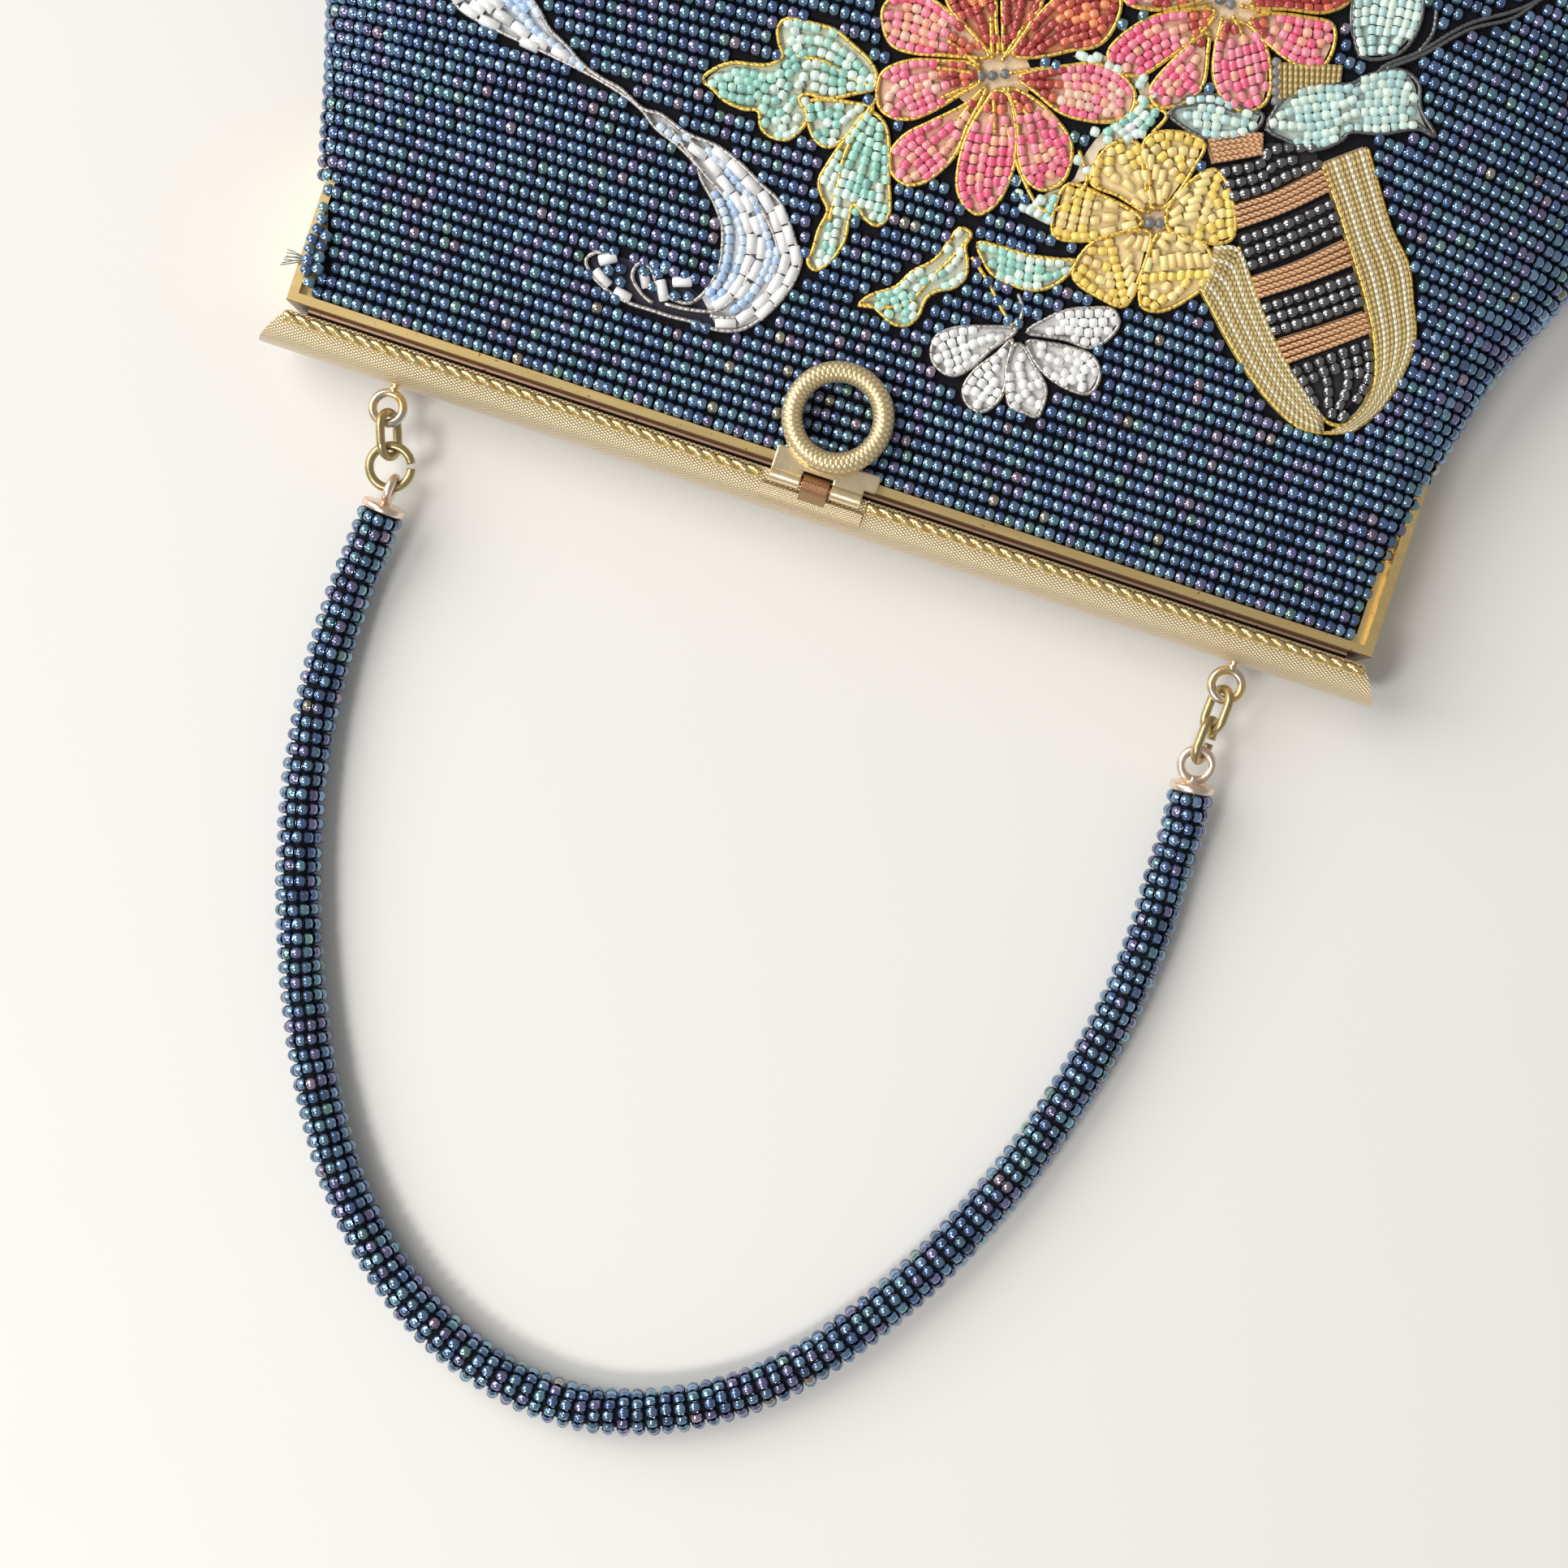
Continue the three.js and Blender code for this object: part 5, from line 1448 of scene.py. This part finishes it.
# The rope trim: two strands of gilt wire twisted together and soldered in the bar's front channel,
# one length on each side of the clasp.
ROPE_DIAMETER = 1.8
ROPE_PITCH = 4.8
ROPE_SEAT = 11.0
STRAND_RADIUS = 0.6
ROPE_STEP = 0.24
CLASP_X = -1.5
PLATE_LENGTH = 16.1
PLATE_GAP = 0.4
CLEARANCE = 0.3

rope_gilt, _ = clouded_metal("rope_gilt", 700, 3, (1.0, 0.88, 0.46), (1.0, 0.62, 0.18), (0.14, 0.16))
rope_gilt.shade(Normal=rope_gilt.bump((rope_gilt.uv()[0] * 9.0).sin(), 0.00001))


def twisted_pair(start, stop):
    """Two strands that wind round the rope's line, half a turn apart."""
    seat_y, seat_z = bar_ring(ROPE_SEAT, CLEARANCE + ROPE_DIAMETER / 2)
    x = np.arange(start, stop, ROPE_STEP)
    line = spread(x, seat_y, seat_z)
    strands = []
    for half in (0, np.pi):
        turn = 2 * np.pi * (x - start) / ROPE_PITCH + half
        out = spread(0.0, np.cos(turn), np.sin(turn))
        strands.append(tube(line + out * (ROPE_DIAMETER / 2 - STRAND_RADIUS), out, STRAND_RADIUS, 8))
    return strands


rope_spans = {
    "rope_trim_left": (-BAR_EDGE_HALF, CLASP_X - PLATE_LENGTH / 2 - PLATE_GAP),
    "rope_trim_right": (CLASP_X + PLATE_LENGTH / 2 + PLATE_GAP, BAR_EDGE_HALF),
}
for node, (start, stop) in rope_spans.items():
    rope = add_part(f"{node}_strands", twisted_pair(start, stop), rope_gilt)
    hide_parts(node)


# The clasp ring: a ring cast with snake scales on a flat polished tab, whose two curled knuckles
# turn on the pin.
RING_DIAMETER = 17.1
RING_WIRE = 3.3
RING_REACH = 10.6
RING_STAND = 2.45
HINGE_Y = -0.6
HINGE_Z = FRAME_FRONT_Z + 0.7
KNUCKLE_DIAMETER = 2.6
MIDDLE_KNUCKLE = 4.2
CLASP_WIDTH = 14.5
TAB_SIDE_REACH = 1.8
TAB_THICKNESS = 1.3
TAB_LIFT = 0.4
TAB_UNDER_RING = 0.6
ROOT_STEP = 0.03
PIN_DIAMETER = 1.2
SCALES_ROUND_RING = 54
SCALES_ROUND_WIRE = 12
SCALE_DEPTH = 0.09
SCALE_DOME = 0.015
GROOVE_SHARE = 0.13

scale_gilt = Finish("scaled_gilt")
scale_cloud = scale_gilt.noise(scale_gilt.place(), 250.0, 3.0)
scale_gold = scale_gilt.mix(scale_cloud, (1.0, 0.88, 0.56), (0.98, 0.78, 0.42))
# Painted shade: the grooves between the scales are darkened towards brown by their depth.
scale_groove_shade = scale_gilt.split(scale_gilt.tint())[0]
scale_gilt.shade(
    Base_Color=scale_gilt.mix(scale_groove_shade * 0.8, scale_gold, (0.36, 0.2, 0.08)),
    Metallic=0.75,
    Roughness=scale_groove_shade * 0.2 + 0.32,
)


def scaled_ring(middle):
    """A torus whose tube is cut by two families of slanting grooves, with a dome between them.
    Gives points, faces and how deep in a groove each point lies."""
    around_ring, around_wire = 408, 48
    big = np.arange(around_ring) * 2 * np.pi / around_ring
    small = np.arange(around_wire) * 2 * np.pi / around_wire
    big, small = np.meshgrid(big, small, indexing="ij")
    by_ring, by_wire = big * SCALES_ROUND_RING / (2 * np.pi), small * SCALES_ROUND_WIRE / (4 * np.pi)
    shares = [by_ring + by_wire, by_ring - by_wire]
    away = [np.abs(share - np.round(share)) for share in shares]
    groove = np.maximum(*[np.exp(-(near / GROOVE_SHARE) ** 2) for near in away])
    dome = np.cos(np.pi * (0.5 - away[0])) * np.cos(np.pi * (0.5 - away[1]))
    radius = RING_WIRE / 2 - SCALE_DEPTH * groove + SCALE_DOME * (dome - 1)
    reach = (RING_DIAMETER - RING_WIRE) / 2 + radius * np.cos(small)
    ring = spread(reach * np.cos(big), reach * np.sin(big), radius * np.sin(small))
    faces = grid_faces(around_ring, around_wire, wrap_rows=True, wrap_columns=True)
    return ring.reshape(-1, 3) + middle, [faces], groove.reshape(-1)


def soft_block(low, high, bevel=0.22):
    """A box between two corners with its edges cut back by a bevel: four loops of eight points, the
    lowest and the highest one drawn in by the bevel."""
    (x0, y0, z0), (x1, y1, z1) = low, high
    loops = []
    for z, inset in ((z0, bevel), (z0 + bevel, 0), (z1 - bevel, 0), (z1, bevel)):
        outer = np.array([x0 + inset, x1 - inset, y0 + inset, y1 - inset])
        left, right, front, back = outer
        cut = outer + [bevel, -bevel, bevel, -bevel]
        x = [cut[0], cut[1], right, right, cut[1], cut[0], left, left]
        y = [front, front, cut[2], cut[3], back, back, cut[3], cut[2]]
        loops.append(spread(x, y, z))
    ends = np.stack([np.arange(8)[::-1], np.arange(8) + 24])
    return np.concatenate(loops), [grid_faces(4, 8, wrap_columns=True), ends], np.zeros((32, 2))


def knuckle(x0, x1, radius, bevel=0.15):
    """A round barrel along the hinge line with its end edges broken."""
    line = spread([x0, x0 + bevel, x1 - bevel, x1], HINGE_Y, HINGE_Z)
    return tube(line, [0, 0, 1], radius - np.array([bevel, 0, 0, bevel]), 24)


ring_y = HINGE_Y + RING_REACH
ring_middle = np.array([CLASP_X, ring_y, HINGE_Z + RING_STAND])
ring_points, ring_faces, ring_groove = scaled_ring(ring_middle)
clasp_ring = make_mesh(
    "clasp_ring_scales", ring_points, ring_faces, scale_gilt.material, body="clasp",
    tint=np.repeat(ring_groove[:, None], 3, axis=1),
)
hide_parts("clasp_ring")

tab_gilt, tab_cloud = clouded_metal(
    "polished_clasp_gilt", 400, 3, (1.0, 0.85, 0.58), (0.95, 0.74, 0.46), (0.24, 0.16)
)
tab_gilt.shade(Normal=tab_gilt.bump(tab_cloud, 0.0001))
tab_bottom = FRAME_FRONT_Z + TAB_LIFT
clasp_left = CLASP_X - CLASP_WIDTH / 2
clasp_right = CLASP_X + CLASP_WIDTH / 2
middle_left = CLASP_X - MIDDLE_KNUCKLE / 2
middle_right = CLASP_X + MIDDLE_KNUCKLE / 2
tab_end_y = ring_y - (RING_DIAMETER - RING_WIRE) / 2 + TAB_UNDER_RING
tab_top = tab_bottom + TAB_THICKNESS
tab_parts = [soft_block(
    [clasp_left, HINGE_Y + KNUCKLE_DIAMETER / 2 + CLEARANCE, tab_bottom],
    [clasp_right + TAB_SIDE_REACH, tab_end_y, tab_top],
)]
for x0, x1 in ((clasp_left, middle_left - CLEARANCE), (middle_right + CLEARANCE, clasp_right)):
    root_stop = [x1, HINGE_Y + KNUCKLE_DIAMETER, tab_top - ROOT_STEP]
    tab_parts.append(knuckle(x0, x1, KNUCKLE_DIAMETER / 2))
    tab_parts.append(soft_block([x0, HINGE_Y, tab_bottom + ROOT_STEP], root_stop))
add_part("clasp_tab", tab_parts, tab_gilt, body="clasp", crisp=35)


# The clasp's cover plate: a strip of finely embossed brass curved over the bar, with the middle
# knuckle soldered to it, and a plain copper-brown pin through the three knuckles.
PLATE_THICKNESS = 0.7
PLATE_START = 22.0
PLATE_END = 48.0

plate_gilt = Finish("finely_embossed_gilt")
plate_mesh, _ = diamond_mesh(plate_gilt, 1.4, 6.0)
# Painted shade: the crevices of the fine mesh are darkened towards brown.
plate_crevice_shade = 1 - plate_mesh.step(0.08, 0.7)
plate_skin = plate_gilt.mix(plate_crevice_shade * 0.9, (1.0, 0.88, 0.60), (0.42, 0.24, 0.10))
plate_brown = plate_gilt.split(plate_gilt.tint())[0]
plate_gilt.shade(
    Base_Color=plate_gilt.mix(plate_brown, plate_skin, (0.40, 0.20, 0.10)),
    Metallic=0.75,
    Roughness=plate_crevice_shade * 0.2 + 0.26,
    Normal=plate_gilt.bump(plate_mesh, 0.00004),
)


def along_x(x, loop):
    """A bar along X: its section's loop of Y and Z at each x, with a flat face at both ends."""
    x, count = x[:, None], loop.shape[1]
    ends = np.stack([np.arange(count), np.arange(count)[::-1] + (len(x) - 1) * count])
    faces = [grid_faces(len(x), count, wrap_columns=True), ends]
    return spread(x, *loop), faces, spread(x, line_reach(loop.T))


plate_turn = np.linspace(PLATE_START, PLATE_END, 9)
plate_top, plate_under = bar_ring(plate_turn, CLEARANCE + PLATE_THICKNESS), bar_ring(plate_turn, CLEARANCE)
plate_loop = np.concatenate([plate_top, plate_under[:, ::-1]], axis=1)
plate_x = np.linspace(CLASP_X - PLATE_LENGTH / 2, CLASP_X + PLATE_LENGTH / 2, 12)
# A bridge of metal from the plate to its knuckle.
bridge_loop = np.column_stack([
    [HINGE_Y, HINGE_Z + 0.35],
    bar_ring(np.array([30.0, 30.0]), np.array([1.0, 0.65])),
    [HINGE_Y, HINGE_Z - KNUCKLE_DIAMETER / 2 + 0.15],
])
bridge_points, bridge_faces, _ = along_x(np.array([middle_left, middle_right]), bridge_loop)
cover_parts = [
    along_x(plate_x, plate_loop),
    (bridge_points, bridge_faces, np.zeros((8, 2))),
    knuckle(middle_left, middle_right, KNUCKLE_DIAMETER / 2),
]
cover_sizes = [np.size(part[0]) // 3 for part in cover_parts]
cover_tint = np.repeat(np.array([[0.0], [0.0], [1.0]]) * np.ones(3), cover_sizes, axis=0)
clasp_plate = add_part(
    "clasp_cover", cover_parts, plate_gilt, tint=cover_tint, crisp=35
)
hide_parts("clasp_plate")

pin_brown, _ = clouded_metal("pin_copper", 800, 2, (0.55, 0.26, 0.12), (0.30, 0.13, 0.06), (0.25, 0.2))
pin = knuckle(clasp_left, clasp_right, PIN_DIAMETER / 2, 0.1)
clasp_pin = add_part("clasp_pin_rod", [pin], pin_brown)
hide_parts("clasp_pin")


# The chains: an oval link on each ear, then a cut jump ring on the left and a cut oval link on the
# right, of unplated brass gone dull, and an end cap with a soldered eye on each end of the handle.
OVAL_LINK = (8.2, 5.8)
OPEN_LINK = (8.0, 5.4)
JUMP_RING = 7.9
WIRE_GAP = 0.7
CAP_THICKNESS = 1.1
CAP_PROFILE = [
    [0.02, 0], [3.1, 0], [3.42, -0.14], [3.5, -0.4], [3.5, -0.95], [3.4, -CAP_THICKNESS],
    [0.02, -CAP_THICKNESS],
]
CAP_SIDES = 36
SOLDER = 0.15
LINK_PASS = LINK_WIRE + CLEARANCE

aged, _ = clouded_metal(
    "aged_brass", 350, 4, (0.70, 0.57, 0.28), (0.36, 0.29, 0.17), (0.2, 0.25), (1200, 0.00004)
)
rose, _ = clouded_metal(
    "rose_gilt", 300, 4, (0.98, 0.80, 0.66), (0.82, 0.66, 0.55), (0.22, 0.2), (900, 0.00005)
)


def turned(heading=0.0, slope=0.0, twist=0.0):
    """The matrix of a turn by twist about Y, then by slope about X, then by heading about Z."""
    a, b, c = np.radians([heading, slope, twist])
    about_z = np.array([[np.cos(a), -np.sin(a), 0], [np.sin(a), np.cos(a), 0], [0, 0, 1]])
    about_x = np.array([[1, 0, 0], [0, np.cos(b), -np.sin(b)], [0, np.sin(b), np.cos(b)]])
    about_y = np.array([[np.cos(c), 0, np.sin(c)], [0, 1, 0], [-np.sin(c), 0, np.cos(c)]])
    return about_z @ about_x @ about_y


def link_wire(length, width, gap=0.0):
    """A link with straight sides and round ends as a wire in the XY plane, cut on its right if it
    has a gap."""
    radius, straight = (width - LINK_WIRE) / 2, (length - width) / 2
    over = arc([0, straight, 0], radius, 0, 180, 25)
    under = arc([0, -straight, 0], radius, 180, 360, 25)
    line = np.concatenate([over, under])
    if gap:
        line = np.concatenate([[[radius, gap / 2, 0]], line, [[radius, -gap / 2, 0]]])
    return tube(line, [0, 0, 1], LINK_WIRE / 2, WIRE_SIDES, closed=not gap)


def cut_ring_wire(diameter, gap):
    """A round ring of wire whose ends stand a gap apart on its right."""
    radius = (diameter - LINK_WIRE) / 2
    half = math.degrees(gap / radius / 2)
    return tube(arc([0, 0, 0], radius, half, 360 - half, 49), [0, 0, 1], LINK_WIRE / 2, WIRE_SIDES)


def cap_parts(eye_diameter, eye_twist):
    """An end cap about its eye: a turned disc with broken edges, the eye, and the solder between
    them. The disc is its profile of radius and height turned about Y."""
    top = eye_diameter / 2 - SOLDER
    turn = np.arange(CAP_SIDES) * 2 * np.pi / CAP_SIDES
    radius, height = np.array(CAP_PROFILE).T[:, :, None]
    points = spread(radius * np.sin(turn), height - top, radius * np.cos(turn))
    rings = len(CAP_PROFILE)
    skin = grid_faces(rings, CAP_SIDES, wrap_columns=True)[:, ::-1]
    ends = np.stack([np.arange(CAP_SIDES), np.arange(CAP_SIDES)[::-1] + (rings - 1) * CAP_SIDES])
    disc = (points, [skin, ends], np.zeros((rings * CAP_SIDES, 2)))
    eye_points, eye_faces, eye_map = wire_ring([0, 0, 0], eye_diameter)
    collar = spread(0.0, -top + np.array([1.0, 0.45, -0.1]), 0.0)
    solder = tube(collar, [0, 0, 1], np.array([0.72, 0.9, 1.4]), WIRE_SIDES)
    return [disc, (eye_points @ turned(twist=eye_twist).T, eye_faces, eye_map), solder]


chains = {
    "left": {
        "heading": 20, "slope": 6, "oval": 62, "length": JUMP_RING, "twist": 0,
        "node": "jump_ring_left", "wire": cut_ring_wire(JUMP_RING, WIRE_GAP),
        "eye": 5.2, "eye_twist": 90, "cap_heading": -5, "cap_slope": 10,
    },
    "right": {
        "heading": -2, "slope": 6, "oval": -60, "length": OPEN_LINK[0], "twist": 60,
        "node": "open_link_right", "wire": link_wire(*OPEN_LINK, WIRE_GAP),
        "eye": 6.2, "eye_twist": 0, "cap_heading": 8, "cap_slope": 10,
    },
}
handle_ends = []
for side, (name, chain) in zip((-1, 1), chains.items()):
    ear = np.array([side * EAR_X, EAR_Y, FRAME_MID_Z])
    hung = turned(chain["heading"], chain["slope"])
    hook = EAR_DIAMETER / 2 - LINK_WIRE / 2 - LINK_PASS
    oval_reach = (OVAL_LINK[0] - LINK_WIRE) / 2
    second_start = hook + 2 * oval_reach - LINK_PASS
    second_reach = (chain["length"] - LINK_WIRE) / 2
    links = {
        f"oval_link_{name}": (link_wire(*OVAL_LINK), hook + oval_reach, chain["oval"]),
        chain["node"]: (chain["wire"], second_start + second_reach, chain["twist"]),
    }
    for node, ((points, faces, mapped), away, twist) in links.items():
        placed = (points @ turned(twist=twist).T - [0, away, 0]) @ hung.T + ear
        link = add_part(f"{node}_wire", [(placed, faces, mapped)], aged)
        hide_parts(node)
    last_wire = ear + hung @ [0, -(second_start + 2 * second_reach), 0]
    capped = turned(chain["cap_heading"], chain["cap_slope"])
    leaving = capped @ [0, -1, 0]
    eye_middle = last_wire + leaving * ((chain["eye"] - LINK_WIRE) / 2 - LINK_PASS)
    points, faces, mapped = joined(cap_parts(chain["eye"], chain["eye_twist"]))
    cap_part = (points @ capped.T + eye_middle, faces, mapped)
    cap = add_part(f"end_cap_{name}_turned", [cap_part], rose, crisp=50)
    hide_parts(f"end_cap_{name}")
    away = chain["eye"] / 2 - SOLDER + CAP_THICKNESS + CLEARANCE
    handle_ends.append((eye_middle + leaving * away, leaving))


# The handle: a black cord core with iris beads netted round it in rings of eleven, which bends in
# one slack loop from cap to cap. Each ring's beads are strung round the core.
HANDLE_DIAMETER = 7.4
HANDLE_LIFT = 0.05
STRAIGHT_END = 5.0
RING_PITCH = 2.23
BEADS_ROUND = 11
CORE_RADIUS = 2.35
CORE_STEP = 1.5
HANDLE_ROUTE = [
    [-65.4, -39, 0.3], [-65.2, -50, 0], [-63.6, -64, 0], [-60.6, -77, 0], [-56.6, -89.5, 0],
    [-51.6, -101.5, 0], [-45.4, -113.5, 0], [-37.6, -125, 0], [-28, -134.8, 0], [-16.5, -142.2, 0],
    [-4, -146.3, 0], [9, -146.8, 0], [21.5, -143, 0], [32, -136.6, 0], [41, -127.8, 0],
    [48.6, -117, 0], [55, -105.6, 0], [60.4, -93.2, 0], [64.8, -79.5, 0], [68, -65.5, 0],
    [69.4, -51.5, 0], [69.2, -40, 0.3],
]

route = np.array(HANDLE_ROUTE) + [0, 0, HANDLE_DIAMETER / 2 + HANDLE_LIFT]
(left_start, left_way), (right_start, right_way) = handle_ends
handle_line = smooth_line(np.concatenate([
    [left_start, left_start + left_way * STRAIGHT_END],
    route,
    [right_start + right_way * STRAIGHT_END, right_start],
]), 24)
handle_length = line_length(handle_line)
core_line = along_line(handle_line, np.arange(0, handle_length, CORE_STEP))
core = tube(core_line, [0, 0, 1], CORE_RADIUS, 14)
handle_core = add_part("handle_core", [core], cloth_finish)
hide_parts("handle_rope")

ring_count = int((handle_length - BEAD_ACROSS) / RING_PITCH) + 1
ring_at = BEAD_ACROSS / 2 + (handle_length - BEAD_ACROSS) * np.arange(ring_count) / (ring_count - 1)
ring_middles = along_line(handle_line, ring_at)[:, None]
ring_ahead, ring_behind = [along_line(handle_line, ring_at + step) for step in (0.5, -0.5)]
ring_ways = unit(ring_ahead - ring_behind)[:, None]
ring_sides = unit(np.cross(ring_ways, [0, 0, 1]))
ring_ups = np.cross(ring_sides, ring_ways)
drift = np.cumsum(dice.normal(0.03, 0.10, ring_count))[:, None]
ring_turn = (np.arange(BEADS_ROUND)[None] * 2 * np.pi / BEADS_ROUND + drift)[..., None]
ring_out = ring_sides * np.cos(ring_turn) + ring_ups * np.sin(ring_turn)
ring_along = ring_ups * np.cos(ring_turn) - ring_sides * np.sin(ring_turn)
netted = ring_middles + ring_out * (HANDLE_DIAMETER - BEAD_ACROSS) / 2
netted = netted + ring_ways * dice.normal(0, 0.07, (ring_count, BEADS_ROUND, 1))
netted_count = ring_count * BEADS_ROUND
beads(
    "handle_beads", ROUND_BEAD, netted.reshape(-1, 3), ring_along.reshape(-1, 3),
    ring_out.reshape(-1, 3), BEAD_LENGTH * dice.normal(1, 0.05, netted_count),
    BEAD_ACROSS * dice.normal(1, 0.025, netted_count), iris_tints(netted_count),
    navy_finish.material,
)
